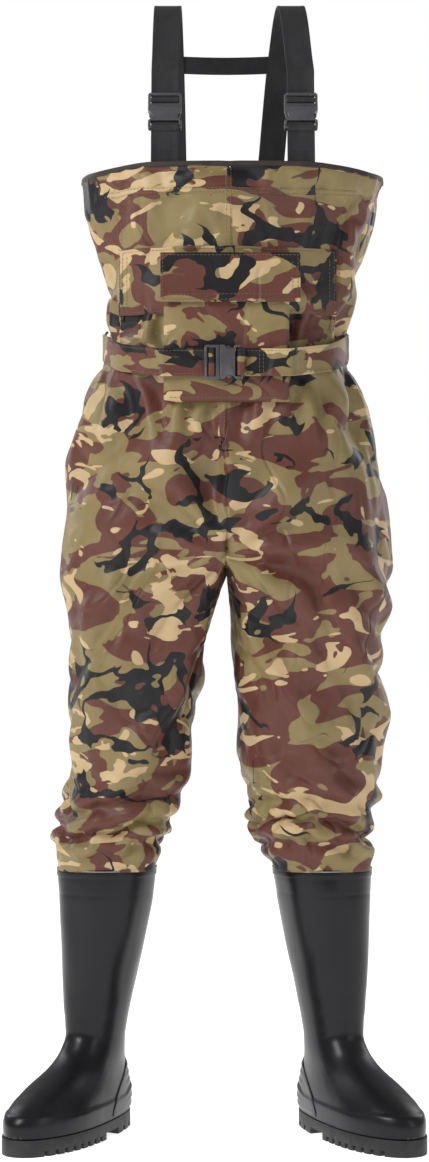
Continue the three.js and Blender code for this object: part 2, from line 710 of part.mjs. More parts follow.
// Frame of a shoulder buckle: z runs up the strap.
function shoulderFrame(x) {
  const start = anchorPoint("front", x);
  const frame = new THREE.Group();
  frame.position.copy(start).addScaledVector(LEAN_DIRECTION, BUCKLE_RISE);
  frame.rotation.x = -STRAP_LEAN;
  return frame;
}

function frontNormal(path, i) {
  const before = path[Math.max(i - 1, 0)];
  const after = path[Math.min(i + 1, path.length - 1)];
  const along = after.clone().sub(before).normalize();
  return new THREE.Vector3(0, -along.z, along.y).normalize();
}

function webAlong(path, width, thick) {
  const normals = path.map((_, i) => frontNormal(path, i));
  return bandAlong(path, normals, () => new THREE.Vector3(1, 0, 0), width, thick);
}

// Anchor web: sewn inside the bib and up to the socket's bar.
function anchorWeb(x) {
  const rim = anchorPoint("front", x);
  const foot = rim.clone().setZ(RIM_TOP - ANCHOR_DROP);
  const end = rim.clone().addScaledVector(LEAN_DIRECTION, BUCKLE_RISE - GAP);
  return webAlong([foot, rim, end], WEB_WIDTH, WEB);
}

// Route of a shoulder strap: straight through the ladder, over the shoulder and down to the back rim.
function strapPath(side) {
  const x = STRAP_X[side];
  const backX = STRAP_BACK_X[side];
  const frame = anchorPoint("front", x).addScaledVector(LEAN_DIRECTION, BUCKLE_RISE);
  const inward = new THREE.Vector3(0, Math.cos(STRAP_LEAN), -Math.sin(STRAP_LEAN));
  const behind = inward.multiplyScalar(LADDER_THICK / 2 + GAP + WEB / 2);
  const start = frame.clone().addScaledVector(LEAN_DIRECTION, LADDER_Z + LADDER_BEAM).add(behind);
  const straightEnd = start.clone().addScaledVector(LEAN_DIRECTION, LADDER_LENGTH + LADDER_TRAVEL);
  const back = anchorPoint("back", backX);
  const crown = new THREE.Vector3(lerp(x, backX, 0.3), STRAP_CROWN_Y, (RIM_TOP + STRAP_RISE) - WEB / 2);
  const rear = new THREE.Vector3(lerp(x, backX, 0.6), STRAP_REAR.y, (RIM_TOP + STRAP_RISE) - STRAP_REAR.drop);
  const low = new THREE.Vector3(backX, back.y, RIM_TOP + 6);
  const arch = new THREE.CatmullRomCurve3([straightEnd, crown, rear, low], false, "centripetal");
  return [start, ...arch.getPoints(20), back.clone().setZ(RIM_TOP - BACK_DROP)];
}

function shoulderStrap(side) {
  return webAlong(strapPath(side), WEB_WIDTH, WEB);
}

// Place on a back strap at a height, with the strap's run and its outward normal there.
function onBackStrap(side, z) {
  const path = strapPath(side);
  const i = path.findLastIndex((p) => p.z > z);
  const along = path[i].clone().sub(path[i + 1]);
  const share = (z - path[i + 1].z) / along.z;
  const point = path[i + 1].clone().addScaledVector(along, share);
  const normal = new THREE.Vector3(0, along.z, -along.y).normalize();
  return { point, normal, along: along.setX(0).normalize() };
}

// Cross strap between the two back straps, on their outer side.
function crossStrap() {
  const ends = ["right", "left"].map((side) => onBackStrap(side, RIM_TOP + CROSS_STRAP_RISE));
  const overhang = [-CROSS_STRAP_END, CROSS_STRAP_END];
  const path = ends.map(({ point, normal }, i) => {
    const raised = point.clone().addScaledVector(normal, WEB / 2 + SKIN_GAP / 2 + TRIM / 2);
    return raised.setX(raised.x + overhang[i]);
  });
  return bandAlong(path, ends.map((end) => end.normal), (i) => ends[i].along, CROSS_STRAP_HEIGHT, TRIM);
}

function shoulders() {
  for (const side of ["left", "right"]) {
    const frame = shoulderFrame(STRAP_X[side]);
    addBuckle(`${side}_shoulder`, frame);
    waders.add(frame);
    waders.add(piece(`${side}_anchor_web`, "webbing", anchorWeb(STRAP_X[side])));
    waders.add(piece(`${side}_shoulder_strap`, "webbing", shoulderStrap(side)));
  }
  waders.add(piece("cross_strap", "webbing", crossStrap()));
}

// ---- belt ----
// Convex outline of flat points, anticlockwise.
function convexOutline(points) {
  const sorted = [...points].sort((a, b) => a.x - b.x || a.y - b.y);
  const turn = (o, a, b) => (a.x - o.x) * (b.y - o.y) - (a.y - o.y) * (b.x - o.x);
  const chain = (list) => {
    const hull = [];
    for (const p of list) {
      while (hull.length > 1 && turn(hull.at(-2), hull.at(-1), p) <= 0) hull.pop();
      hull.push(p);
    }
    return hull.slice(0, -1);
  };
  return [...chain(sorted), ...chain(sorted.reverse())];
}

const BELT_FRONT_Y = POCKET_FRONT_Y - BELT_EASE - WEB / 2; // web centre at the front

// Height of the belt's centre where it lies at depth y.
function beltZ(y) {
  return WAIST_Z - BELT_SAG * THREE.MathUtils.smoothstep(-y, 0, -BELT_FRONT_Y);
}

// Centre line of the belt: the tight outline round the shell and the pocket.
function beltLine() {
  const shell = spread(0, 2 * Math.PI, 90).slice(0, -1).map((angle) => {
    const side = ovalPoint(bodyAt(WAIST_Z), angle, 0);
    const z = beltZ(side.y) - WEB_WIDTH / 2;
    return ovalPoint(bodyAt(z), angle, BELT_EASE + WEB / 2);
  });
  const flat = [BELT_BUCKLE_X - BELT_FLAT_RIGHT - 8, BELT_BUCKLE_X + BELT_FLAT_LEFT + 26];
  const front = flat.map((x) => new THREE.Vector3(x, BELT_FRONT_Y, 0));
  const outline = convexOutline([...shell, ...front]);
  return outline.map((p) => new THREE.Vector3(p.x, p.y, beltZ(p.y)));
}

// Belt webbing from the ladder's side, round the back, to the socket's side.
function beltWeb() {
  const line = beltLine();
  const front = (p) => Math.abs(p.y - BELT_FRONT_Y) < 0.5;
  const frontLeft = line.findIndex((p) => front(p) && p.x > BELT_BUCKLE_X);
  const ordered = [...line.slice(frontLeft), ...line.slice(0, frontLeft)];
  const back = BELT_FRONT_Y;
  const webEnd = BELT_SOCKET_X - LADDER_Z - LADDER_BEAM;
  const start = new THREE.Vector3(BELT_SOCKET_X + GAP, back, beltZ(back));
  const end = new THREE.Vector3(webEnd, back, beltZ(back));
  const path = [start, ...ordered, end];
  const normals = path.map((p, i) => {
    if (i === 0 || i === path.length - 1) return new THREE.Vector3(0, -1, 0);
    const along = path[i + 1].clone().sub(path[i - 1]);
    return new THREE.Vector3(along.y, -along.x, 0).normalize();
  });
  return bandAlong(path, normals, () => new THREE.Vector3(0, 0, 1), WEB_WIDTH, WEB);
}

const HALF_BUCKLE_LENGTH = (SOCKET_LENGTH + LADDER_LENGTH) / 2;
const BELT_SOCKET_X = BELT_BUCKLE_X + HALF_BUCKLE_LENGTH;

// Frame of the belt buckle: its z axis points to the wearer's right, from the socket to the ladder.
function beltFrame() {
  const frame = new THREE.Group();
  const y = BELT_FRONT_Y - WEB / 2 - GAP - LADDER_THICK / 2;
  frame.position.set(BELT_SOCKET_X, y, beltZ(BELT_FRONT_Y));
  frame.rotation.y = -Math.PI / 2;
  return frame;
}

// How far flat points reach from the body's middle in a direction.
function reachOf(points, direction) {
  const middle = bodyAt(WAIST_Z).x;
  return Math.max(...points.map((p) => (p.x - middle) * direction.x + p.y * direction.y));
}

// Belt loop: a strip outside the belt, sewn to the shell above and below it.
function beltLoop(angle) {
  const turn = degrees(angle);
  const direction = new THREE.Vector2(Math.cos(turn), Math.sin(turn));
  const beltFace = reachOf(beltLine(), direction) + WEB / 2 + GAP;
  const z = beltZ(beltFace * direction.y);
  const half = LOOP_HEIGHT / 2;
  const shell = (level) => spread(0, 2 * Math.PI, 120).map((a) => ovalPoint(bodyAt(level), a));
  const shellReach = [z - half, z + half].map((level) => reachOf(shell(level), direction));
  const shellFace = Math.max(...shellReach) + SKIN_GAP;
  const face = Math.max(beltFace, shellFace);
  const outer = block([shellFace, -LOOP_WIDTH / 2, z - half], [face + TRIM, LOOP_WIDTH / 2, z + half]);
  const open = half - 2 * TRIM;
  const inner = block([shellFace - 1, -LOOP_WIDTH, z - open], [face, LOOP_WIDTH, z + open]);
  const place = new THREE.Matrix4().makeRotationZ(turn).setPosition(bodyAt(WAIST_Z).x, 0, 0);
  return placed(geometryOf(outer.subtract(inner)), place);
}

function belt() {
  const frame = beltFrame();
  addBuckle("belt", frame);
  waders.add(frame);
  waders.add(piece("belt_webbing", "camoTrim", beltWeb()));
  for (const [name, angle] of Object.entries(LOOP_ANGLES)) {
    waders.add(piece(`belt_loop_${name}`, "camoTrim", beltLoop(angle)));
  }
}

bibPanels();
seatHalves();
legs();
bibHem();
boots();
handWarmer();
pocketPouch();
pocketFlap();
pocketTapes();
shoulders();
belt();

// The whole stands with the middle of its box over the origin.
const box = new THREE.Box3().setFromObject(waders);
waders.position.set(-(box.min.x + box.max.x) / 2, -(box.min.y + box.max.y) / 2, -box.min.z);

export default waders;
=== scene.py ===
"""Chest waders: the finished look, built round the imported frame. Metres, +Z up, front towards -Y."""
import math

import bmesh
import bpy
import numpy as np
from mathutils import Matrix, Vector, noise
from mathutils.bvhtree import BVHTree


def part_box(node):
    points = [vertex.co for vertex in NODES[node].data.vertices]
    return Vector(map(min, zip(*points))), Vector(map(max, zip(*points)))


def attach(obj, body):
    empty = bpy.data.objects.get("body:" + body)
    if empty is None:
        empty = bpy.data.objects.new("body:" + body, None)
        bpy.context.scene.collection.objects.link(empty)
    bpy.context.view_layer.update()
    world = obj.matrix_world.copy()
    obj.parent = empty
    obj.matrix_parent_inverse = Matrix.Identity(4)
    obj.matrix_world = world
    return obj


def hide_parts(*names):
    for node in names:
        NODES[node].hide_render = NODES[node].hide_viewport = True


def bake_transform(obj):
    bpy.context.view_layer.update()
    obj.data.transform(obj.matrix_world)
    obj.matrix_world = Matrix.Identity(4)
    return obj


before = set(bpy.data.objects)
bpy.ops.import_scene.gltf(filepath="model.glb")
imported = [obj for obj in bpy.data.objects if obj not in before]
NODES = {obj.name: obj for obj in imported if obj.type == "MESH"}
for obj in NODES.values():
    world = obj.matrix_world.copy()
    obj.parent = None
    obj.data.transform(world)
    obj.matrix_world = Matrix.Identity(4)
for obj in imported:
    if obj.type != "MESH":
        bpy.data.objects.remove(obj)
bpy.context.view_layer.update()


# ---------------------------------------------------------------- camera, light and floor
CAMERA_DISTANCE = 3.737
CAMERA_HEIGHT = 0.7435
CAMERA_LENS = 86.6  # millimetres on a sensor 36 mm tall
FLOOR_SIZE = 30
AMBIENT = 0.26  # light from the surroundings
FLOOR_GLOW = 0.79  # keeps the floor as pale as the background


def placed(name, data):
    """New object in the scene."""
    obj = bpy.data.objects.new(name, data)
    bpy.context.scene.collection.objects.link(obj)
    return obj


def make_camera():
    data = bpy.data.cameras.new("camera")
    data.sensor_fit = "VERTICAL"
    data.sensor_height = 36.0
    data.lens = CAMERA_LENS
    camera = placed("camera", data)
    camera.location = (0.0, -CAMERA_DISTANCE, CAMERA_HEIGHT)
    camera.rotation_euler = (math.radians(90), 0, 0)
    bpy.context.scene.camera = camera


def area_light(name, place, target, size, power):
    data = bpy.data.lights.new(name, "AREA")
    data.shape = "RECTANGLE"
    data.size, data.size_y = size
    data.energy = power
    lamp = placed(name, data)
    lamp.location = place
    lamp.rotation_euler = (Vector(target) - Vector(place)).to_track_quat("-Z", "Y").to_euler()


def make_stage():
    """White surroundings for the camera, dimmer ones for the object, a pale floor and four soft lights."""
    world = bpy.data.worlds.new("studio")
    world.use_nodes = True
    background = world.node_tree.nodes["Background"]
    background.inputs["Color"].default_value = (1.0, 1.0, 1.0, 1)
    background.inputs["Strength"].default_value = AMBIENT
    white = world.node_tree.nodes.new("ShaderNodeBackground")
    white.inputs["Strength"].default_value = 1.0
    white.inputs["Color"].default_value = (1.0, 1.0, 1.0, 1)
    choice = world.node_tree.nodes.new("ShaderNodeMixShader")
    seen = world.node_tree.nodes.new("ShaderNodeLightPath")
    links = world.node_tree.links
    links.new(seen.outputs["Is Camera Ray"], choice.inputs[0])
    links.new(background.outputs[0], choice.inputs[1])
    links.new(white.outputs[0], choice.inputs[2])
    links.new(choice.outputs[0], world.node_tree.nodes["World Output"].inputs["Surface"])
    bpy.context.scene.world = world
    bpy.context.scene.view_settings.view_transform = "Standard"
    bpy.ops.mesh.primitive_plane_add(size=FLOOR_SIZE, location=(0, 0, 0))
    floor = bpy.context.object
    floor.name = "floor"
    glow = {"Specular IOR Level": 0.1, "Emission Color": (1, 1, 1, 1), "Emission Strength": FLOOR_GLOW}
    floor.data.materials.append(new_material("floor_white", (0.9, 0.9, 0.9), 0.6, glow)[0])
    area_light("key", (-2.4, -2.0, 2.7), (0, 0, 0.8), (1.0, 1.6), 96)
    area_light("fill", (2.6, -2.0, 1.5), (0, 0, 0.7), (1.2, 2.2), 17)
    area_light("back_left", (-2.0, 1.8, 2.0), (0, 0, 0.8), (1.0, 2.0), 20)
    area_light("back_right", (2.0, 2.0, 1.8), (0, 0, 0.6), (1.0, 2.0), 20)


# ---------------------------------------------------------------- materials
def new_material(name, color, roughness, inputs=None):
    material = bpy.data.materials.new(name)
    material.use_nodes = True
    tree = material.node_tree
    shader = tree.nodes["Principled BSDF"]
    values = {"Base Color": (*color, 1), "Roughness": roughness, **(inputs or {})}
    for key, value in values.items():
        shader.inputs[key].default_value = value
    return material, shader, Nodes(tree)


class Nodes:
    """Short calls for a material's node tree."""

    def __init__(self, tree):
        self.tree = tree

    def add(self, kind, **values):
        node = self.tree.nodes.new(kind)
        for key, value in values.items():
            setattr(node, key, value)
        return node

    def link(self, output, target):
        self.tree.links.new(output, target)

    def math(self, operation, a, b=0.0):
        node = self.add("ShaderNodeMath", operation=operation)
        for socket, value in zip(node.inputs, (a, b)):
            if isinstance(value, (int, float)):
                socket.default_value = value
            else:
                self.link(value, socket)
        return node.outputs[0]

    def place(self, scale, shift=(0, 0, 0), turn=(0, 0, 0)):
        source = self.add("ShaderNodeTexCoord")
        mapping = self.add("ShaderNodeMapping")
        mapping.inputs["Location"].default_value = shift
        mapping.inputs["Rotation"].default_value = turn
        mapping.inputs["Scale"].default_value = scale
        self.link(source.outputs["Object"], mapping.inputs["Vector"])
        return mapping.outputs[0]

    def noise(self, vector, scale, detail=2.0, rough=0.5, distortion=0.0):
        node = self.add("ShaderNodeTexNoise")
        self.link(vector, node.inputs["Vector"])
        node.inputs["Scale"].default_value = scale
        node.inputs["Detail"].default_value = detail
        node.inputs["Roughness"].default_value = rough
        node.inputs["Distortion"].default_value = distortion
        return node.outputs["Fac"]

    def bands(self, vector, direction, scale):
        node = self.add("ShaderNodeTexWave", wave_type="BANDS", bands_direction=direction)
        self.link(vector, node.inputs["Vector"])
        node.inputs["Scale"].default_value = scale
        return node.outputs["Fac"]

    def step(self, value, low, high):
        node = self.add("ShaderNodeMapRange", clamp=True)
        self.link(value, node.inputs["Value"])
        node.inputs["From Min"].default_value = low
        node.inputs["From Max"].default_value = high
        return node.outputs[0]

    def mix(self, factor, a, b):
        node = self.add("ShaderNodeMix", data_type="RGBA")
        self.link(factor, node.inputs[0])
        for index, value in ((6, a), (7, b)):
            if isinstance(value, tuple):
                node.inputs[index].default_value = (*value, 1)
            else:
                self.link(value, node.inputs[index])
        return node.outputs[2]

    def bump(self, height, strength, distance, normal=None):
        node = self.add("ShaderNodeBump")
        node.inputs["Strength"].default_value = strength
        node.inputs["Distance"].default_value = distance
        self.link(height, node.inputs["Height"])
        if normal:
            self.link(normal, node.inputs["Normal"])
        return node.outputs[0]


def srgb(r, g, b):
    def linear(v):
        v /= 255
        return v / 12.92 if v <= 0.04045 else ((v + 0.055) / 1.055) ** 2.4

    return (linear(r), linear(g), linear(b))


BROWN = srgb(92, 54, 45)
KHAKI = srgb(128, 112, 74)
TAN = srgb(184, 159, 119)
BLACK = srgb(24, 23, 26)


def weave_height(n, vector, threads):
    """Plain weave: crossed threads, seen as a fine checker of round bumps."""
    return n.math("MULTIPLY", n.bands(vector, "X", threads), n.bands(vector, "Z", threads))


def moved(shift, x, y, z):
    return (shift[0] + x, shift[1] + y, shift[2] + z)


def camo_material(name, shift):
    """Woodland print on coated nylon: brown ground, khaki and tan patches, ragged black branches."""
    sheen = {"Specular IOR Level": 0.27, "Sheen Weight": 0.03, "Sheen Roughness": 0.4}
    material, shader, n = new_material(name, BROWN, 0.42, sheen)
    khaki = n.noise(n.place((1, 1, 1.7), shift), 10.8, 1.9, 0.5, 1.0)
    tan = n.noise(n.place((1, 1, 2.0), moved(shift, 3.1, 1.7, 5.3)), 12.4, 1.8, 0.5, 1.3)
    branch = n.noise(n.place((1, 1, 1.25), moved(shift, 7.4, 2.2, 9.1)), 11.0, 2.4, 0.55, 0.35)
    patch = n.noise(n.place((1, 1, 1.6), moved(shift, 1.4, 8.2, 0)), 9.5, 0.6, 0.4, 0.2)
    edge = 0.006
    color = n.mix(n.step(khaki, 0.495, 0.495 + edge), BROWN, KHAKI)
    color = n.mix(n.step(tan, 0.59, 0.59 + edge), color, TAN)
    width = n.math("MULTIPLY", n.step(patch, 0.47, 0.60), 0.048)
    ridge = n.math("ABSOLUTE", n.math("SUBTRACT", branch, 0.5))
    color = n.mix(n.step(n.math("SUBTRACT", width, ridge), 0.0, 0.003), color, BLACK)
    tone = n.noise(n.place((1, 1, 1), shift), 26, 3, 0.6)
    shade = n.mix(n.step(tone, 0.3, 0.75), (0.9, 0.9, 0.9), (1.06, 1.06, 1.06))
    tinted = n.add("ShaderNodeMix", data_type="RGBA", blend_type="MULTIPLY")
    tinted.inputs[0].default_value = 1.0
    n.link(color, tinted.inputs[6])
    n.link(shade, tinted.inputs[7])
    n.link(tinted.outputs[2], shader.inputs["Base Color"])
    fine = n.place((1, 1, 1))
    weave = weave_height(n, fine, 260)
    crease = n.noise(n.place((1, 1, 1.4), shift), 34, 3, 0.55, 0.6)
    run = n.noise(n.place((1, 1, 0.75), shift, (0.5, 0, 0.4)), 8.5, 1.4, 0.45, 0.5)
    sharp = n.step(n.math("ABSOLUTE", n.math("SUBTRACT", run, 0.5)), 0.0, 0.035)
    normal = n.bump(sharp, 0.45, 0.004, n.bump(crease, 0.30, 0.004))
    n.link(n.bump(weave, 0.22, 0.0004, normal), shader.inputs["Normal"])
    rough = n.step(tone, 0.2, 0.8)
    n.link(n.math("ADD", n.math("MULTIPLY", rough, 0.12), 0.38), shader.inputs["Roughness"])
    return material


def webbing_material(name, color=(0.0145, 0.0145, 0.0160)):
    """Woven elastic webbing: fine ribs along the strap and a worn, slightly lighter face."""
    sheen = {"Specular IOR Level": 0.25, "Sheen Weight": 0.10, "Sheen Roughness": 0.5}
    material, shader, n = new_material(name, color, 0.62, sheen)
    fine = n.place((1, 1, 1))
    ribs = n.bands(fine, "X", 130)
    height = n.math("ADD", ribs, n.math("MULTIPLY", n.bands(fine, "Z", 190), 0.6))
    n.link(n.bump(height, 0.25, 0.0004), shader.inputs["Normal"])
    tone = n.noise(n.place((1, 1, 0.4)), 60, 4, 0.6)
    lift = tuple(c * 1.6 for c in color)
    n.link(n.mix(n.step(tone, 0.35, 0.75), color, lift), shader.inputs["Base Color"])
    return material


def plastic_material(name):
    """Moulded acetal: dark grey, satin, with a faint pebble. Its greys are lifted by painted sheen, with
    soft lighter patches that are partly rough scuffs and partly painted sheen.
    """
    material, shader, n = new_material(name, (0.03, 0.03, 0.034), 0.3, {"Specular IOR Level": 0.75})
    fine = n.place((1, 1, 1))
    pebble = n.noise(fine, 900, 2, 0.6)
    n.link(n.bump(pebble, 0.05, 0.0001), shader.inputs["Normal"])
    scuff_and_sheen = n.noise(fine, 34, 2, 0.5)
    rough = n.math("MULTIPLY", n.step(scuff_and_sheen, 0.4, 0.8), 0.10)
    n.link(n.math("ADD", rough, 0.26), shader.inputs["Roughness"])
    # painted sheen: both greys are lighter than the acetal's own dark grey, and the soft lighter patches are
    # partly rough scuffs and partly painted sheen
    color = n.mix(n.step(scuff_and_sheen, 0.3, 0.8), (0.050, 0.050, 0.056), (0.064, 0.064, 0.071))
    n.link(color, shader.inputs["Base Color"])
    return material


def pvc_material(name, dark=(0.0066, 0.0065, 0.0086), light=(0.0122, 0.0122, 0.0155)):
    """Injected PVC: near-black satin with soft clouding, dust and faint flow marks."""
    gloss = {"Specular IOR Level": 0.22, "Coat Weight": 0.04, "Coat Roughness": 0.25}
    material, shader, n = new_material(name, dark, 0.34, gloss)
    cloud = n.noise(n.place((1, 1, 0.5)), 9, 3, 0.5)
    dust = n.noise(n.place((1, 1, 1)), 420, 3, 0.7)
    n.link(n.mix(n.step(cloud, 0.3, 0.75), dark, light), shader.inputs["Base Color"])
    rough = n.math("ADD", n.math("MULTIPLY", n.step(cloud, 0.3, 0.8), 0.12), 0.27)
    dusty = n.math("MULTIPLY", n.step(dust, 0.6, 0.8), 0.12)
    n.link(n.math("ADD", rough, dusty), shader.inputs["Roughness"])
    ripple = n.noise(n.place((1, 1, 0.6)), 14, 2, 0.4)
    normal = n.bump(ripple, 0.2, 0.006)
    n.link(n.bump(dust, 0.12, 0.0003, normal), shader.inputs["Normal"])
    return material


def grained_material(name, color, roughness, grain, relief, wear, span, dark, light):
    """Matte material with a fine grain. Its tone follows the wear noise, or the grain without one."""
    material, shader, n = new_material(name, color, roughness)
    place = n.place((1, 1, 1))
    height = n.noise(place, *grain)
    n.link(n.bump(height, *relief), shader.inputs["Normal"])
    tone = n.noise(place, *wear) if wear else height
    n.link(n.mix(n.step(tone, *span), dark, light), shader.inputs["Base Color"])
    return material


def rubber_material(name):
    """Sole rubber: matte, pebbled, lighter and dusty where it has scuffed."""
    dark, light = (0.008, 0.008, 0.009), (0.024, 0.023, 0.022)
    grain, relief, wear = (700, 4, 0.65), (0.4, 0.0004), (40, 5, 0.7)
    return grained_material(name, (0.010, 0.010, 0.011), 0.55, grain, relief, wear, (0.45, 0.8), dark, light)


def thread_material(name, color):
    """Twisted sewing thread."""
    darker = tuple(c * 0.7 for c in color)
    return grained_material(name, color, 0.6, (1600, 2, 0.5), (0.5, 0.0002), None, (0.3, 0.7), darker, color)


def felt_material(name):
    """Napped insole, lining and closure tape."""
    dark, light = (0.025, 0.025, 0.024), (0.07, 0.07, 0.066)
    grain, relief = (900, 5, 0.8), (0.8, 0.001)
    return grained_material(name, (0.04, 0.04, 0.038), 0.95, grain, relief, None, (0.3, 0.7), dark, light)


# ---------------------------------------------------------------- mesh helpers
def mesh_object(name, verts, faces, material, smooth=True):
    mesh = bpy.data.meshes.new(name)
    mesh.from_pydata([tuple(v) for v in verts], [], faces)
    mesh.update()
    mesh.materials.append(material)
    if smooth:
        mesh.polygons.foreach_set("use_smooth", [True] * len(mesh.polygons))
    return placed(name, mesh)


def outward(obj):
    """Faces of a closed mesh turned outwards."""
    bm = bmesh.new()
    bm.from_mesh(obj.data)
    bmesh.ops.recalc_face_normals(bm, faces=bm.faces)
    bm.to_mesh(obj.data)
    bm.free()
    return obj


def apply_modifiers(obj):
    graph = bpy.context.evaluated_depsgraph_get()
    done = bpy.data.meshes.new_from_object(obj.evaluated_get(graph))
    old = obj.data
    obj.modifiers.clear()
    obj.data = done
    done.name = old.name
    bpy.data.meshes.remove(old)
    return obj


def solidify(obj, thickness, inner=0, rim=0):
    """Gives a sheet thickness on its inner side. inner and rim are material offsets for those faces."""
    modifier = obj.modifiers.new("wall", "SOLIDIFY")
    modifier.thickness = thickness
    modifier.offset = -1
    modifier.material_offset = inner
    modifier.material_offset_rim = rim
    return apply_modifiers(obj)


def subdivide(obj):
    modifier = obj.modifiers.new("subdivide", "SUBSURF")
    modifier.levels = 1
    modifier.render_levels = 1
    return apply_modifiers(obj)


def bevel(obj, width, segments, angle=35):
    modifier = obj.modifiers.new("bevel", "BEVEL")
    modifier.width = width
    modifier.segments = segments
    modifier.limit_method = "ANGLE"
    modifier.angle_limit = math.radians(angle)
    return apply_modifiers(obj)


def shade_by_angle(obj, angle):
    obj.data.polygons.foreach_set("use_smooth", [True] * len(obj.data.polygons))
    obj.data.set_sharp_from_angle(angle=math.radians(angle))
    return obj


def finish_piece(obj, body, slot, *nodes):
    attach(obj, body)
    if nodes:
        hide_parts(*nodes)
    return obj


def whole_piece(name, parts, angle, body, slot, node):
    """Joins parts into one piece that rides on a body and stands for a CAD node."""
    whole = join(name, parts)
    shade_by_angle(whole, angle)
    return finish_piece(whole, body, slot, node)


def grid_faces(rows, columns, close_columns=False, close_rows=False):
    faces = []
    for r in range(rows if close_rows else rows - 1):
        for c in range(columns if close_columns else columns - 1):
            r2 = (r + 1) % rows
            c2 = (c + 1) % columns
            faces.append((r * columns + c, r * columns + c2, r2 * columns + c2, r2 * columns + c))
    return faces


def smoothstep(x, low, high):
    t = np.clip((np.asarray(x, float) - low) / (high - low), 0, 1)
    return t * t * (3 - 2 * t)


def bell(x, middle, width):
    return np.exp(-(((np.asarray(x, float) - middle) / width) ** 2))


def rise(x, low, high):
    """smoothstep of one number."""
    return float(smoothstep(x, low, high))


def hump(x, middle, width):
    """bell of one number."""
    return float(bell(x, middle, width))


# ---------------------------------------------------------------- fabric shell
RIM_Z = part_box("bib_front")[1].z
CROTCH_Z = 0.768
BOOT_TOP_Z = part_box("boot_left")[1].z
BELT_Z = 1.056  # at the sides
BELT_DROP = 0.030  # how much lower its middle is at the front
SEAM_X = 0.0155
AXIS_Y = 0.0118
LEG_X = 0.125  # distance of each leg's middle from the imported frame's middle plane
SHELL_WALL = 0.0014
CELL = 0.0078  # cloth cell
HALF_COUNT = 66  # columns from the front seam to the back seam
INNER_COUNT = 28  # columns across the inside of a leg
SHELL_NODES = {
    "left": ("bib_front", "seat_left", "thigh_left", "knee_left", "shin_left"),
    "right": ("bib_back", "seat_right", "thigh_right", "knee_right", "shin_right"),
}
LOWER = {"left": "left_lower_leg", "right": "right_lower_leg"}


def tree_of(objects):
    verts, faces = [], []
    for obj in objects:
        start = len(verts)
        verts += [v.co.copy() for v in obj.data.vertices]
        faces += [[start + i for i in p.vertices] for p in obj.data.polygons]
    return BVHTree.FromPolygons(verts, faces)


def cad_tree(*names):
    return tree_of([NODES[name] for name in names])


def ray_radius(tree, x, z, angle):
    """Distance from an upright axis to the outer face in one direction."""
    direction = Vector((math.cos(angle), math.sin(angle), 0))
    for shift in (0, 0.003, -0.003, 0.007, -0.007):
        start = Vector((x, AXIS_Y, z + shift)) + direction * 0.7
        hit, _, _, _ = tree.ray_cast(start, -direction, 0.68)
        if hit:
            return (hit - Vector((x, AXIS_Y, z + shift))).dot(direction)
    return float("nan")


def ray_ring(tree, x, z, angles):
    """Outline at a height as points, with any missed direction filled in."""
    radii = np.array([ray_radius(tree, x, z, a) for a in angles])
    good = ~np.isnan(radii)
    radii = np.interp(np.arange(len(angles)), np.nonzero(good)[0], radii[good])
    level = np.full(len(angles), z)
    return np.stack([x + radii * np.cos(angles), AXIS_Y + radii * np.sin(angles), level], axis=1)


def arc_spread(points, count):
    """Points at even spacing along a line of points."""
    steps = np.linalg.norm(np.diff(points, axis=0), axis=1)
    along = np.concatenate([[0], np.cumsum(steps)])
    wanted = np.linspace(0, along[-1], count)
    return np.stack([np.interp(wanted, along, points[:, k]) for k in range(3)], axis=1)


def smooth_rows(grid, rounds):
    """Evens out steps between rows, keeping each row's height."""
    for _ in range(rounds):
        inner = (grid[:-2] + 2 * grid[1:-1] + grid[2:]) / 4
        inner[:, :, 2] = grid[1:-1, :, 2]
        grid[1:-1] = inner
    return grid


def half_rows(side, body_tree, leg_tree):
    """Rows of one half, from the rim down: half outlines of the body, then whole outlines of the leg."""
    sign = 1 if side == "left" else -1
    sweep = np.radians(np.linspace(-90, 90, 121))
    sweep = sweep if sign > 0 else math.pi - sweep
    body = []
    levels = np.linspace(RIM_Z - 0.0005, CROTCH_Z + 0.0008, int((RIM_Z - CROTCH_Z) / CELL) + 1)
    for z in levels:
        ease = smoothstep(z, CROTCH_Z, RIM_Z)
        middle = SEAM_X + 0.0045 * float(ease)
        body.append(arc_spread(ray_ring(body_tree, middle, z, sweep), HALF_COUNT))
    body = smooth_rows(np.array(body), 2)
    top = body[-1]
    bridge = np.linspace(top[-1], top[0], INNER_COUNT + 2)[1:-1]
    share = np.linspace(0, 1, INNER_COUNT + 2)[1:-1]
    bridge[:, 2] -= 0.010 * np.sin(share * math.pi)
    bridge[:, 0] = SEAM_X
    first = np.vstack([top, bridge])
    mid_top = float(np.mean([first[:, 0].min(), first[:, 0].max()]))
    turns = np.unwrap(np.arctan2(first[:, 1] - AXIS_Y, first[:, 0] - mid_top))
    legs = [first]
    count = int((CROTCH_Z - BOOT_TOP_Z) / CELL)
    for z in np.linspace(CROTCH_Z - CELL, BOOT_TOP_Z - 0.002, count):
        level = max(z, BOOT_TOP_Z + 0.002)
        east = ray_radius(leg_tree, sign * LEG_X, level, 0.0)
        west = ray_radius(leg_tree, sign * LEG_X, level, math.pi)
        middle = sign * LEG_X + (east - west) / 2
        ring = ray_ring(leg_tree, middle, level, turns)
        ring[:, 2] = z
        legs.append(ring)
    legs = smooth_rows(np.array(legs), 3)
    return body, legs


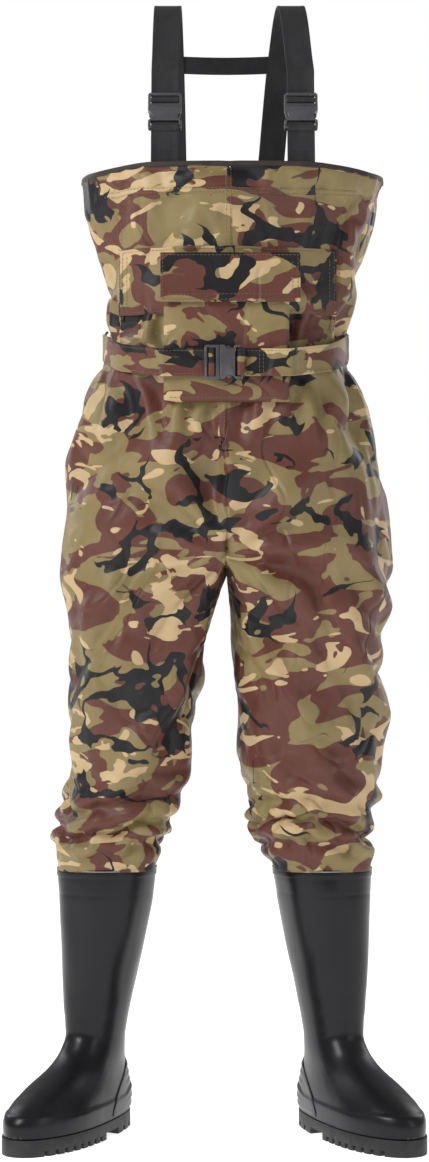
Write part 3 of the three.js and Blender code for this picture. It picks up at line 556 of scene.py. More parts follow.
def shell_grid():
    """Whole shell as one welded grid: vertices, faces and the side of each face."""
    body_tree = cad_tree("bib_front", "bib_back", "seat_left", "seat_right")
    verts, faces, sides = [], [], []
    index = {}

    def vertex(key, point):
        if key not in index:
            index[key] = len(verts)
            verts.append(point)
        return index[key]

    for side in ("left", "right"):
        leg_tree = cad_tree(f"thigh_{side}", f"knee_{side}", f"shin_{side}")
        body, legs = half_rows(side, body_tree, leg_tree)
        ids_body = np.zeros(body.shape[:2], int)
        for r in range(body.shape[0]):
            for c in range(HALF_COUNT):
                seam = "front" if c == 0 else "back" if c == HALF_COUNT - 1 else None
                key = (seam, r) if seam else (side, "body", r, c)
                ids_body[r, c] = vertex(key, body[r, c])
        ids_leg = np.zeros(legs.shape[:2], int)
        for r in range(legs.shape[0]):
            for c in range(legs.shape[1]):
                if r == 0 and c < HALF_COUNT:
                    ids_leg[r, c] = ids_body[-1, c]
                elif r == 0:
                    ids_leg[r, c] = vertex(("crotch", c), legs[r, c])
                else:
                    ids_leg[r, c] = vertex((side, "leg", r, c), legs[r, c])
        quads = []
        for ids, closed in ((ids_body, False), (ids_leg, True)):
            flat = ids.ravel()
            quads += [tuple(flat[i] for i in face) for face in grid_faces(*ids.shape, close_columns=closed)]
        if side == "left":
            quads = [tuple(reversed(q)) for q in quads]
        faces += [tuple(int(i) for i in q) for q in quads]
        sides += [side] * len(quads)
    return np.array(verts), faces, sides


def wobble(x, y, z):
    return noise.noise(Vector((x, y, z)))


def ridged(x, y, z):
    """Fold pattern from 0 up: round tops and sharp valleys."""
    return abs(wobble(x, y, z)) * 2.0


def fold_height(point):
    """How far a point of the shell stands out in the first, crafted folds."""
    x, y, z = point
    side = 1 if x > SEAM_X else -1
    leg_x = x - side * 0.13
    turn = math.atan2(y - AXIS_Y, leg_x if z < CROTCH_Z else x - SEAM_X)
    front = rise(-y, -0.02, 0.07)
    height = 0.0
    # bunching above the boots
    bunch = hump(z, BOOT_TOP_Z + 0.058, 0.060) * rise(z, BOOT_TOP_Z + 0.006, BOOT_TOP_Z + 0.03)
    drift = wobble(turn * 1.2, side * 3.0, z * 7)
    wave = z * 165 + 2.4 * math.sin(turn * 1.5 + side) + 3.4 * drift
    rings = 2 * abs(math.sin(wave / 2)) - 1
    creases = ridged(turn * 1.8, side * 2.0, z * 30) - 0.4
    height += bunch * (0.0095 * rings + 0.008 * creases)
    # soft slanting folds on the legs
    legs = rise(CROTCH_Z + 0.05 - z, 0.0, 0.10) * rise(z, BOOT_TOP_Z + 0.01, BOOT_TOP_Z + 0.08)
    slant = z * 9.0 + side * leg_x * 16.0
    height += legs * 0.015 * (ridged(slant, side * 4.0 + y * 5, z * 3.0) - 0.45)
    height += legs * 0.009 * (ridged(x * 15, y * 12, z * 13 + side) - 0.4)
    # folds that run from the crotch
    dx, dz = x - SEAM_X, z - (CROTCH_Z + 0.015)
    reach = math.hypot(dx, dz)
    spoke = math.atan2(dz, abs(dx))
    fan = math.sin(spoke * 9.0 + side * 0.8 + 1.5 * wobble(reach * 8, side * 5.0, 1.0))
    height += front * 0.009 * fan * hump(reach, 0.10, 0.07) * rise(reach, 0.015, 0.05)
    # pleats above and below the belt
    belt_z = BELT_Z - BELT_DROP * front
    away = abs(z - belt_z)
    pleat = math.sin(turn * 23 + 2.5 * wobble(turn * 2, z * 5, 7.0))
    height += 0.0062 * pleat * hump(away, 0.045, 0.045) * rise(away, 0.015, 0.04)
    # upright folds on the bib, less behind the pocket
    quiet = 1 - 0.75 * hump(x - SEAM_X, 0, 0.10) * front
    bib = rise(z, 1.06, 1.14) * rise(RIM_Z - z, 0.0, 0.05)
    height += bib * quiet * 0.015 * (ridged(x * 15, y * 9, z * 3.4) - 0.45)
    # hips and seat
    hips = hump(z, 0.90, 0.09)
    height += hips * 0.015 * (ridged(x * 8 + z * 6 * side, y * 8, z * 7) - 0.45)
    inseam = hump(x, SEAM_X, 0.032) * hump(z, 0.70, 0.09)
    return height * (1 - inseam) - 0.004 * inseam * rise(CROTCH_Z - z, 0.0, 0.01)


def vertex_normals(verts, faces):
    quads = np.array(faces)
    a, b, c, d = (verts[quads[:, k]] for k in range(4))
    face = np.cross(c - a, d - b)
    total = np.zeros_like(verts)
    for k in range(4):
        np.add.at(total, quads[:, k], face)
    return total / np.maximum(np.linalg.norm(total, axis=1, keepdims=True), 1e-12)


def pin_weights(verts):
    """How firmly each point keeps its place in the cloth run."""
    x, y, z = verts.T
    front = smoothstep(-y, -0.02, 0.07)
    belt = bell(z, BELT_Z - BELT_DROP * front, 0.014)
    rim = bell(z, RIM_Z, 0.010)
    cuff = 1 - smoothstep(z, BOOT_TOP_Z + 0.008, BOOT_TOP_Z + 0.018)
    crotch = bell(np.hypot(x - SEAM_X, z - CROTCH_Z), 0, 0.014)
    inseam = bell(x, SEAM_X, 0.030) * bell(z, 0.70, 0.08) * 0.8
    pocket = 0.35 * bell(x - SEAM_X, 0, 0.085) * bell(z, 1.10, 0.09) * front
    return np.clip(np.maximum.reduce([belt * 0.9, rim, cuff, crotch * 0.6, pocket, inseam]) + 0.008, 0, 1)


CLOTH = {
    "quality": 6,
    "mass": 0.25,
    "tension_stiffness": 40,
    "compression_stiffness": 40,
    "shear_stiffness": 9,
    "bending_stiffness": 0.08,
    "tension_damping": 6,
    "compression_damping": 6,
    "shear_damping": 6,
    "bending_damping": 0.6,
    "air_damping": 2,
    "vertex_group_mass": "pin",
    "pin_stiffness": 0.6,
    "shrink_min": -0.09,  # spare length, which makes the fabric buckle
    "use_pressure": True,
    "uniform_pressure_force": 0.05,
}
CLOTH_FRAMES = 22
CLOTH_REACH = 0.011  # farthest that a point may move in the cloth run


def drape(obj, verts):
    """Lets the fabric buckle under its own spare length, then caps how far each point moved."""
    group = obj.vertex_groups.new(name="pin")
    for i, weight in enumerate(pin_weights(verts)):
        group.add([i], float(weight), "REPLACE")
    cloth = obj.modifiers.new("cloth", "CLOTH")
    for key, value in CLOTH.items():
        setattr(cloth.settings, key, value)
    cloth.settings.effector_weights.gravity = 0
    cloth.collision_settings.use_collision = False
    scene = bpy.context.scene
    for frame_number in range(1, CLOTH_FRAMES + 1):
        scene.frame_set(frame_number)
    graph = bpy.context.evaluated_depsgraph_get()
    final = obj.evaluated_get(graph)
    draped = np.empty(len(verts) * 3)
    final.data.vertices.foreach_get("co", draped)
    draped = draped.reshape(-1, 3)
    obj.modifiers.clear()
    scene.frame_set(1)
    step = draped - verts
    size = np.linalg.norm(step, axis=1, keepdims=True)
    limit = CLOTH_REACH * np.tanh(size / CLOTH_REACH)
    return verts + step * np.where(size > 1e-9, limit / np.maximum(size, 1e-9), 0)


def part_of_shell(name, verts, faces, materials):
    used = sorted({i for face in faces for i in face})
    index = {old: new for new, old in enumerate(used)}
    obj = mesh_object(name, verts[used], [tuple(index[i] for i in face) for face in faces], materials[0])
    obj.data.materials.append(materials[1])
    subdivide(obj)
    return obj


def make_shell(outside, lining):
    verts, faces, sides = shell_grid()
    normals = vertex_normals(verts, faces)
    heights = np.array([fold_height(p) for p in verts])
    firm = pin_weights(verts)
    inner_thigh = bell(verts[:, 0], SEAM_X, 0.032) * bell(verts[:, 2], 0.70, 0.09)
    heights *= np.maximum(1 - smoothstep(firm, 0.3, 0.95), inner_thigh)
    shaped = verts + normals * heights[:, None]
    outer = smoothstep(np.abs(verts[:, 0] - 0.024), 0.10, 0.20)
    corner = outer * smoothstep(verts[:, 2], RIM_Z - 0.10, RIM_Z)
    shaped[:, 2] -= 0.008 * corner
    whole = mesh_object("drape", shaped, faces, outside)
    shaped = drape(whole, shaped)
    bpy.data.objects.remove(whole)
    halves = {}
    for side in ("left", "right"):
        own = [face for face, which in zip(faces, sides) if which == side]
        halves[side] = part_of_shell(f"shell_{side}", shaped, own, (outside, lining))
    return halves


def thicken_shell(obj, side):
    solidify(obj, SHELL_WALL, 1, 1)
    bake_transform(obj)
    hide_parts(*SHELL_NODES[side])


# ---------------------------------------------------------------- bands, strips and stitches
def smooth_path(points, gap):
    """Points of a Catmull-Rom curve through the given points, about one gap apart."""
    points = [Vector(p) for p in points]
    ends = [points[0] * 2 - points[1]] + points + [points[-1] * 2 - points[-2]]
    out = []
    for i in range(1, len(ends) - 2):
        p0, p1, p2, p3 = ends[i - 1:i + 3]
        count = max(1, round((p2 - p1).length / gap))
        for k in range(count):
            t = k / count
            out.append(
                0.5 * (2 * p1 + (p2 - p0) * t + (2 * p0 - 5 * p1 + 4 * p2 - p3) * t * t
                       + (3 * p1 - p0 - 3 * p2 + p3) * t ** 3)
            )
    out.append(points[-1])
    return out


def densely(points, gap=0.010):
    """Adds points along the straight runs between points, so that smoothing leaves them straight."""
    out = []
    for a, b in zip(points, points[1:]):
        count = max(1, round((b - a).length / gap))
        out += [a.lerp(b, k / count) for k in range(count)]
    return out + [points[-1]]


def tangents(path, closed=False):
    count = len(path)
    out = []
    for i in range(count):
        after = path[(i + 1) % count] if closed else path[min(i + 1, count - 1)]
        before = path[i - 1] if closed else path[max(i - 1, 0)]
        out.append((after - before).normalized())
    return out


def sweep(name, path, normals, profile, material, closed=False, across=None):
    """Profile (across, outward) carried along a path whose outward directions are given."""
    runs = tangents(path, closed)
    verts = []
    for point, run, normal in zip(path, runs, normals):
        side = across or run.cross(normal).normalized()
        out = side.cross(run).normalized()
        out = out if out.dot(normal) > 0 else -out
        verts += [point + side * u + out * v for u, v in profile]
    ring = len(profile)
    faces = grid_faces(len(path), ring, close_columns=True, close_rows=closed)
    if not closed:
        faces.append(tuple(range(ring)))
        faces.append(tuple(range(len(verts) - ring, len(verts))))
    return outward(mesh_object(name, verts, faces, material))


def web_profile(width, thick, selvedge=0.0022):
    """Cross-section of webbing: round edges with a slightly raised selvedge."""
    half, t = width / 2, thick / 2
    top = [
        (-half, 0.0), (-half + 0.15 * t, 0.62 * t), (-half + 0.7 * t, 0.98 * t), (-half + selvedge * 0.7, t),
        (-half + selvedge, 0.82 * t), (-half * 0.4, 0.80 * t),
    ]
    upper = top + [(-u, v) for u, v in reversed(top)]
    lower = [(u, -v) for u, v in reversed(upper[1:-1])]
    return upper + lower


def round_profile(width, thick, steps=4):
    """Rounded rectangle."""
    radius = min(width, thick) / 2 * 0.98
    out = []
    for cx, cy, start in ((1, 1, 0), (-1, 1, 90), (-1, -1, 180), (1, -1, 270)):
        for k in range(steps + 1):
            angle = math.radians(start + 90 * k / steps)
            out.append((
                cx * (width / 2 - radius) + radius * math.cos(angle),
                cy * (thick / 2 - radius) + radius * math.sin(angle),
            ))
    return out


def band_rings(node, drop_axis):
    """Middle points of a flat CAD band, in no order. Points that differ only along drop_axis are one."""
    keep = [k for k in range(3) if k != drop_axis]
    points = {}
    for vertex in NODES[node].data.vertices:
        key = tuple(round(vertex.co[k], 5) for k in keep)
        points.setdefault(key, []).append(vertex.co.copy())
    spots = [(Vector(k), sum(v, Vector()) / len(v)) for k, v in points.items()]
    rings = []
    used = set()
    for i, (flat, middle) in enumerate(spots):
        if i in used:
            continue
        near = [(j, (flat - other).length) for j, (other, _) in enumerate(spots) if j != i and j not in used]
        j, gap = min(near, key=lambda item: item[1]) if near else (None, 1)
        used.add(i)
        if gap < 0.0032:
            used.add(j)
            rings.append((middle + spots[j][1]) / 2)
        else:
            rings.append(middle)
    return rings


def chain(points, start):
    """Orders points from one end by always taking the nearest that is left."""
    left = list(points)
    line = [min(left, key=lambda p: (p - start).length)]
    left.remove(line[0])
    while left:
        nearest = min(left, key=lambda p: (p - line[-1]).length)
        left.remove(nearest)
        line.append(nearest)
    return line


DASH_SIDES = 5
DASH_RINGS = ((-0.5, 0.35), (-0.3, 1.0), (0.3, 1.0), (0.5, 0.35))  # share of the length, share of the radius
DASH_FACES = grid_faces(len(DASH_RINGS), DASH_SIDES, close_columns=True)
DASH_FACES += [(0, 1, 2, 3, 4), (19, 18, 17, 16, 15)]


def stitches(name, path, normals, material, length=0.0034, gap=0.0016, radius=0.00035, proud=0.0002):
    """Row of thread dashes lying on a surface along a path."""
    verts, faces = [], []
    runs = tangents(path)
    along = [0.0]
    for a, b in zip(path, path[1:]):
        along.append(along[-1] + (b - a).length)
    place = 0.0
    while place + length < along[-1]:
        i = int(np.searchsorted(along, place + length / 2)) - 1
        i = min(max(i, 0), len(path) - 2)
        t = (place + length / 2 - along[i]) / max(along[i + 1] - along[i], 1e-9)
        middle = path[i].lerp(path[i + 1], t)
        run = runs[i]
        normal = normals[i].lerp(normals[i + 1], t).normalized()
        side = run.cross(normal).normalized()
        base = len(verts)
        for step, grow in DASH_RINGS:
            centre = middle + run * (length * step) + normal * (proud if abs(step) < 0.4 else -radius * 0.6)
            for k in range(DASH_SIDES):
                angle = 2 * math.pi * k / DASH_SIDES
                verts.append(centre + (side * math.cos(angle) + normal * math.sin(angle)) * radius * grow)
        faces += [tuple(base + i for i in face) for face in DASH_FACES]
        place += length + gap
    return mesh_object(name, verts, faces, material)


def rows_along(name, path, normals, offsets, proud, thread, *size, across=None):
    """Rows of stitches along a strip, each at one offset from its middle line."""
    rows = []
    for k, offset in enumerate(offsets):
        places = zip(path, tangents(path), normals)
        line = [p + (across or run.cross(n).normalized()) * offset + n * proud for p, run, n in places]
        rows.append(stitches(f"{name}_row{k}", line, normals, thread, *size))
    return rows


def tack(name, middle, across, normal, half, thread, *size):
    """Row of stitches straight across a web."""
    return stitches(name, [middle - across * half, middle + across * half], [normal] * 2, thread, *size)


def join(name, pieces):
    """One object out of several, with the first one's material order kept."""
    bm = bmesh.new()
    materials = []
    for piece in pieces:
        lookup = []
        for material in piece.data.materials:
            if material not in materials:
                materials.append(material)
            lookup.append(materials.index(material))
        start = len(bm.faces)
        bm.from_mesh(piece.data)
        bm.faces.ensure_lookup_table()
        for face in bm.faces[start:]:
            face.material_index = lookup[face.material_index] if lookup else 0
    mesh = bpy.data.meshes.new(name)
    bm.to_mesh(mesh)
    bm.free()
    for material in materials:
        mesh.materials.append(material)
    for piece in pieces:
        bpy.data.objects.remove(piece)
    return placed(name, mesh)


# ---------------------------------------------------------------- shell surface
class Skin:
    """The finished shell's surface, for laying seams and panels on it."""

    def __init__(self, objects):
        self.tree = tree_of(objects)

    def front(self, x, z):
        """Point and outward direction where a line from the front meets the shell."""
        hit, normal, _, _ = self.tree.ray_cast(Vector((x, -0.6, z)), Vector((0, 1, 0)))
        return hit, (normal if normal and normal.y < 0 else -normal if normal else None)


SEAM_WIDTH = 0.009
SEAM_ROWS = (-0.0028, 0.0028)


def seam_on_front(skin, corners):
    """Path and outward directions of a seam over (x, z) corners on the front."""
    path, normals = [], []
    for x, _, z in smooth_path([(x, 0, z) for x, z in corners], 0.006):
        hit, normal = skin.front(x, z)
        if hit:
            path.append(hit)
            normals.append(normal)
    return path, normals


def lay_seam(name, skin, corners, material, thread):
    """Felled seam on the front: a low flat ridge with rows of stitches."""
    path, normals = seam_on_front(skin, corners)
    ridge = sweep(f"{name}_ridge", path, normals, round_profile(SEAM_WIDTH, 0.0016), material)
    return join(name, [ridge] + rows_along(name, path, normals, SEAM_ROWS, 0.0009, thread))


def blur_field(field, rounds):
    """Softens a table of depths."""
    for _ in range(rounds):
        padded = np.pad(field, 1, mode="edge")
        field = (padded[:-2, 1:-1] + padded[2:, 1:-1] + padded[1:-1, :-2] + padded[1:-1, 2:] + 4 * field) / 8
    return field


def front_patch(name, skin, low, high, depth_of, thick, material, cell=0.004):
    """Sheet on the front between two (x, z) corners. depth_of gives its y from (u, v, shell depth)."""
    columns = max(2, round((high[0] - low[0]) / cell))
    rows = max(2, round((high[1] - low[1]) / cell))
    xs = np.linspace(low[0], high[0], columns + 1)
    zs = np.linspace(high[1], low[1], rows + 1)
    ground = np.zeros((rows + 1, columns + 1))
    for r, z in enumerate(zs):
        for c, x in enumerate(xs):
            hit, _ = skin.front(x, z)
            ground[r, c] = hit.y
    ground = blur_field(ground, 10)
    front = []
    for r, z in enumerate(zs):
        v = 1 - 2 * r / rows
        for c, x in enumerate(xs):
            u = 2 * c / columns - 1
            y = depth_of(u, v, ground[r, c])
            front.append(Vector((x, y, z)))
    faces = grid_faces(rows + 1, columns + 1)
    sheet = mesh_object(name, front, [tuple(reversed(f)) for f in faces], material)
    solidify(sheet, thick)
    outward(sheet)
    bevel(sheet, min(thick * 0.35, 0.0012), 2, 50)
    grid = np.array([tuple(p) for p in front]).reshape(rows + 1, columns + 1, 3)
    return sheet, grid


def grid_point(grid, u, v):
    """Place on a patch's grid, with u from -1 at its right to 1 at its left and v from -1 at the bottom."""
    rows, columns = grid.shape[0] - 1, grid.shape[1] - 1
    fc = min(max((u + 1) / 2 * columns, 0), columns - 1e-6)
    fr = min(max((1 - v) / 2 * rows, 0), rows - 1e-6)
    r, c = int(fr), int(fc)
    a, b = fr - r, fc - c
    top = grid[r, c] * (1 - b) + grid[r, c + 1] * b
    bottom = grid[r + 1, c] * (1 - b) + grid[r + 1, c + 1] * b
    return Vector(top * (1 - a) + bottom * a)


def stitch_line_on(name, grid, corners, thread):
    """Stitches over a patch through (u, v) corners."""
    path = []
    for (u0, v0), (u1, v1) in zip(corners, corners[1:]):
        for k in range(24):
            t = k / 24
            path.append(grid_point(grid, u0 + (u1 - u0) * t, v0 + (v1 - v0) * t))
    path.append(grid_point(grid, *corners[-1]))
    normals = [Vector((0, -1, 0))] * len(path)
    return stitches(name, [p + Vector((0, -0.0003, 0)) for p in path], normals, thread)


def inset_corners(grid, inset):
    """The (u, v) corners of a line that runs one inset inside a patch's edges."""
    wide = abs(grid[0, -1, 0] - grid[0, 0, 0])
    tall = abs(grid[0, 0, 2] - grid[-1, 0, 2])
    u, v = 1 - 2 * inset / wide, 1 - 2 * inset / tall
    return [(-u, -v), (u, -v), (u, v), (-u, v), (-u, -v)]


# ---------------------------------------------------------------- boots
BOOT_AXIS = Vector((0.160, 0.0466, 0))  # ankle of the left boot
TOE_OUT = math.radians(29)
BOOT_COLUMNS = 120
BOOT_WALL = 0.0036
TOE_TRIM = 0.006  # how much shorter the toe is drawn than the CAD toe
WELD_LOW, WELD_HIGH = 0.3474, 0.3562  # weld strip round the top
FABRIC_END_LOW, FABRIC_END_HIGH = 0.3564, 0.3580  # end of the fabric above the weld
BAND_SINK = 0.0011  # depth of both bands' inner faces under the boot's surface
COUNTER_REACH = 21  # columns of the boot that the heel counter covers on each side
COUNTER_ROWS = 40
COUNTER_LOW = 0.0265
COUNTER_SIDE_TOP = 0.030  # its top edge at its two ends
COUNTER_RISE = 0.074  # how much higher its top edge is at the back
RIB_PITCH = 0.0108


def boot_sign(side):
    """+1 for the left boot, whose outer side is towards +X, and -1 for the right one."""
    return 1 if side == "left" else -1


def boot_axis(side):
    return Vector((boot_sign(side) * BOOT_AXIS.x, BOOT_AXIS.y, 0))


def toe_direction(side):
    return Vector((boot_sign(side) * math.sin(TOE_OUT), -math.cos(TOE_OUT), 0))


def boot_ring(tree, side, z):
    """Closed outline of a boot at a height, starting at the toe and going towards the outer side."""
    sign = boot_sign(side)
    axis = boot_axis(side) + Vector((0, 0, z))
    toe = -math.pi / 2 + sign * TOE_OUT
    turns = toe + sign * np.linspace(0, 2 * math.pi, 241)
    points = []
    for turn in turns:
        direction = Vector((math.cos(turn), math.sin(turn), 0))
        hit, _, _, _ = tree.ray_cast(axis + direction * 0.4, -direction, 0.39)
        points.append(hit if hit else points[-1])
    return arc_spread(np.array([tuple(p) for p in points]), BOOT_COLUMNS + 1)[:-1]


def boot_surface(side):
    """Rows of the boot's outer face, from the sole up, with creases and moulded lines."""
    sign = boot_sign(side)
    tree = cad_tree(f"boot_{side}")
    low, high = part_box(f"boot_{side}")
    levels = np.concatenate([
        np.linspace(low.z + 0.0005, 0.130, 44),
        np.linspace(0.1325, high.z - 0.0006, 84),
    ])
    grid = np.array([boot_ring(tree, side, z) for z in levels])
    grid = smooth_rows(grid, 10)
    for _ in range(3):
        grid = (np.roll(grid, 1, axis=1) + 2 * grid + np.roll(grid, -1, axis=1)) / 4
    forward = toe_direction(side)
    outer = Vector((sign * math.cos(TOE_OUT), math.sin(TOE_OUT), 0))
    across = np.roll(grid, -1, axis=1) - np.roll(grid, 1, axis=1)
    upward = np.gradient(grid, axis=0)
    normals = np.cross(across, upward) * sign
    normals /= np.maximum(np.linalg.norm(normals, axis=2, keepdims=True), 1e-9)
    middle = grid.mean(axis=1, keepdims=True)
    flip = ((grid - middle) * normals)[:, :, :2].sum(axis=2).mean()
    normals = normals if flip > 0 else -normals
    for r in range(grid.shape[0]):
        for c in range(grid.shape[1]):
            p = Vector(grid[r, c])
            rel = p - boot_axis(side)
            u, v, z = rel.dot(forward), rel.dot(outer), p.z
            pull = TOE_TRIM * rise(u, 0.10, 0.21) + 0.010 * hump(z, 0.066, 0.018) * rise(u, 0.08, 0.19)
            grid[r, c] += normals[r, c] * boot_relief(u, v, z, side) - np.array(forward) * pull
    return grid, normals, levels


def boot_relief(u, v, z, side):
    """How far the moulded surface stands out at a place: u towards the toe, v towards the outer side."""
    seed = 3.0 if side == "left" else 8.0
    front = rise(u, 0.0, 0.05)
    lift = 0.0
    # foxing over the welt, rising to the heel
    welt = 0.046 + 0.020 * rise(-u, 0.02, 0.09) + 0.004 * rise(u, 0.12, 0.18)
    lift += 0.0016 * (1 - rise(z, welt, welt + 0.003))
    # low edge of the toe cap
    cap = 0.158 - 0.10 * (z - 0.045)
    lift += 0.0006 * rise(u, cap, cap + 0.004) * rise(z, 0.044, 0.05)
    # ankle creases
    for height, depth, reach in ((0.128, 0.0016, 0.012), (0.152, 0.0011, 0.013), (0.182, 0.0010, 0.015)):
        line = height + 0.10 * max(u, 0) + 0.004 * math.sin(v * 70 + seed)
        lift -= depth * hump(z, line, reach) * (0.35 + 0.65 * front)
    # long dents down the leg
    leg = rise(z, 0.17, 0.21) * rise(0.356 - z, 0.0, 0.03)
    lift += leg * 0.0030 * wobble(u * 13, v * 13 + seed, z * 7)
    lift += leg * 0.0012 * wobble(u * 30 + seed, v * 30, z * 14)
    # two faint lines under the top
    lift -= 0.0006 * hump(z, 0.3455, 0.0012)
    lift -= 0.0005 * hump(z, 0.3240, 0.0014)
    # mould line on the outer front
    lift += 0.0009 * hump(v - 0.55 * u, 0.030, 0.0020) * rise(v, 0.0, 0.02) * rise(z, 0.10, 0.14)
    return lift


def make_boot(side, pvc, lining):
    grid, normals, levels = boot_surface(side)
    rows, columns = grid.shape[:2]
    faces = grid_faces(rows, columns, close_columns=True)
    boot = mesh_object(f"boot_upper_{side}", grid.reshape(-1, 3), faces, pvc)
    outward_open(boot, Vector(grid[rows // 2].mean(axis=0)))
    subdivide(boot)
    boot.data.materials.append(lining)
    solidify(boot, BOOT_WALL, 1)
    finish_piece(boot, LOWER[side], "boot_pvc", f"boot_{side}")
    return grid, normals, levels


def outward_open(obj, middle):
    """Turns an open mesh's faces away from a middle point."""
    mesh = obj.data
    score = sum((p.center - middle).dot(p.normal) * p.area for p in mesh.polygons)
    if score < 0:
        mesh.flip_normals()


def ring_band(name, grid, normals, levels, low, high, thick, material):
    """Raised band round the boot between two heights."""
    rows = [r for r, z in enumerate(levels) if low <= z <= high]
    path_row = rows[len(rows) // 2]
    ring = [Vector(p) for p in grid[path_row]]
    outs = [Vector((n[0], n[1], 0)).normalized() for n in normals[path_row]]
    z = (low + high) / 2
    path = [Vector((p.x, p.y, z)) + o * (thick / 2 - BAND_SINK) for p, o in zip(ring, outs)]
    profile = round_profile(high - low, thick)
    return sweep(name, path, outs, profile, material, closed=True)


def make_top_band(side, grid, normals, levels, pvc, edge):
    """Weld strip round the boot's top, with the end of the fabric showing above it."""
    strip = ring_band(f"weld_{side}", grid, normals, levels, WELD_LOW, WELD_HIGH, 0.0016, pvc)
    rim = ring_band(
        f"fabric_end_{side}", grid, normals, levels, FABRIC_END_LOW, FABRIC_END_HIGH, 0.0018, edge,
    )
    whole_piece(f"boot_top_band_{side}", [strip, rim], 50, LOWER[side], "boot_pvc", f"top_band_{side}")


def make_heel_counter(side, grid, normals, pvc):
    """Counter round the heel: widest at the sole, highest and ribbed at the back."""
    columns = grid.shape[1]
    back = columns // 2
    picked = [(back + k) % columns for k in range(-COUNTER_REACH, COUNTER_REACH + 1)]
    column_height = grid[:, back, 2]
    rows = COUNTER_ROWS
    front, behind = [], []
    for t in np.linspace(0, 1, rows):
        for k, c in enumerate(picked):
            share = abs(k - COUNTER_REACH) / COUNTER_REACH
            top = COUNTER_SIDE_TOP + COUNTER_RISE * (1 - share) ** 0.62
            z = COUNTER_LOW + (top - COUNTER_LOW) * t
            r = float(np.interp(z, column_height, np.arange(len(column_height))))
            r0 = min(int(r), grid.shape[0] - 2)
            w = r - r0
            p = Vector(grid[r0, c] * (1 - w) + grid[r0 + 1, c] * w)
            n = Vector(normals[r0, c]).normalized()
            phase = (z - COUNTER_SIDE_TOP - 0.016 * (1 - share)) * 2 * math.pi / RIB_PITCH
            rib = (1 - rise(share, 0.30, 0.55)) * 0.5 * (1 + math.cos(phase))
            edge = min(1.0, 7 * t + 0.35, 7 * (1 - t) + 0.35, 7 * (1 - share) + 0.35)
            lift = 0.0009 + (0.0007 + 0.0012 * rib) * edge
            front.append(p + n * lift)
            behind.append(p - n * 0.0004)
    width = len(picked)
    verts = front + behind
    faces = grid_faces(rows, width)
    total = rows * width
    faces += [tuple(i + total for i in reversed(f)) for f in grid_faces(rows, width)]
    border = list(range(width))
    border += [r * width + width - 1 for r in range(1, rows)]
    border += [(rows - 1) * width + c for c in range(width - 2, -1, -1)]
    border += [r * width for r in range(rows - 2, 0, -1)]
    for a, b in zip(border, border[1:] + border[:1]):
        faces.append((a, b, b + total, a + total))
    counter = outward(mesh_object(f"heel_guard_{side}", verts, faces, pvc))
    subdivide(counter)
    finish_piece(counter, LOWER[side], "boot_pvc", f"heel_counter_{side}")


def copy_node(node, name, material, width):
    """Refined copy of a hard CAD piece: one vertex per corner and rounded edges."""
    mesh = NODES[node].data.copy()
    mesh.name = name
    bm = bmesh.new()
    bm.from_mesh(mesh)
    bmesh.ops.remove_doubles(bm, verts=bm.verts, dist=0.00002)
    bmesh.ops.dissolve_limit(bm, angle_limit=math.radians(1.0), verts=bm.verts, edges=bm.edges)
    bmesh.ops.recalc_face_normals(bm, faces=bm.faces)
    bm.to_mesh(mesh)
    bm.free()
    mesh.materials.clear()
    mesh.materials.append(material)
    obj = placed(name, mesh)
    bevel(obj, width, 2, 30)
    shade_by_angle(obj, 35)
    return obj


def make_sole(side, rubber, felt):
    sole = copy_node(f"outsole_{side}", f"sole_{side}", rubber, 0.0011)
    forward = toe_direction(side)
    for vertex in sole.data.vertices:
        u = (vertex.co - boot_axis(side)).dot(forward)
        vertex.co -= forward * (TOE_TRIM * rise(u, 0.10, 0.21))
    finish_piece(sole, LOWER[side], "sole_rubber", f"outsole_{side}")
    inner = copy_node(f"insole_{side}", f"footbed_{side}", felt, 0.001)
    finish_piece(inner, LOWER[side], "insole_felt", f"insole_{side}")


def make_boots(pvc, counter, rubber, felt, lining, edge):
    for side in ("left", "right"):
        grid, normals, levels = make_boot(side, pvc, lining)
        make_top_band(side, grid, normals, levels, pvc, edge)
        make_heel_counter(side, grid, normals, counter)
        make_sole(side, rubber, felt)


# ---------------------------------------------------------------- straps
WEB_WIDTH = 0.036
WEB_THICK = 0.0024
LADDER_CLEARANCE = 0.0006  # the long web behind a sliding ladder stands this much farther back
TACK_SIZE = 0.003, 0.0012, 0.0003  # length of a stitch, gap and thread radius
SMALL_TACK_SIZE = 0.0022, 0.0009, 0.0003
X_AXIS = Vector((1, 0, 0))


def strap_normals(path):
    """Outward directions of a strap that stays square to the sideways axis."""
    out = []
    for run in tangents(path):
        out.append(Vector((0, -run.z, run.y)).normalized())
    return out


def make_strap(side, webbing, thread):
    node = f"{side}_shoulder_strap"
    rings = chain(band_rings(node, 0), Vector((0, -0.2, 1.37)))
    path = smooth_path(densely(rings[:2]) + rings[2:], 0.006)
    rippled = []
    for i, p in enumerate(path):
        wave = 0.0007 * math.sin(i * 0.55) * rise(p.z, 1.40, 1.44)
        clearance = LADDER_CLEARANCE * (1 - rise(p.z, 1.44, 1.48)) * rise(-p.y, 0.03, 0.06)
        rippled.append(p + Vector((0, wave + clearance, 0)))
    normals = strap_normals(rippled)
    profile = web_profile(WEB_WIDTH, WEB_THICK)
    strap = sweep(f"{side}_strap_web", rippled, normals, profile, webbing, across=X_AXIS)
    size = 0.0028, 0.0014, 0.00025, 0.0
    rows = rows_along(
        node, rippled, normals, (-0.0150, 0.0150), WEB_THICK * 0.44, thread, *size, across=X_AXIS,
    )
    whole_piece(f"{side}_strap", [strap] + rows, 45, "root", "black_webbing", node)


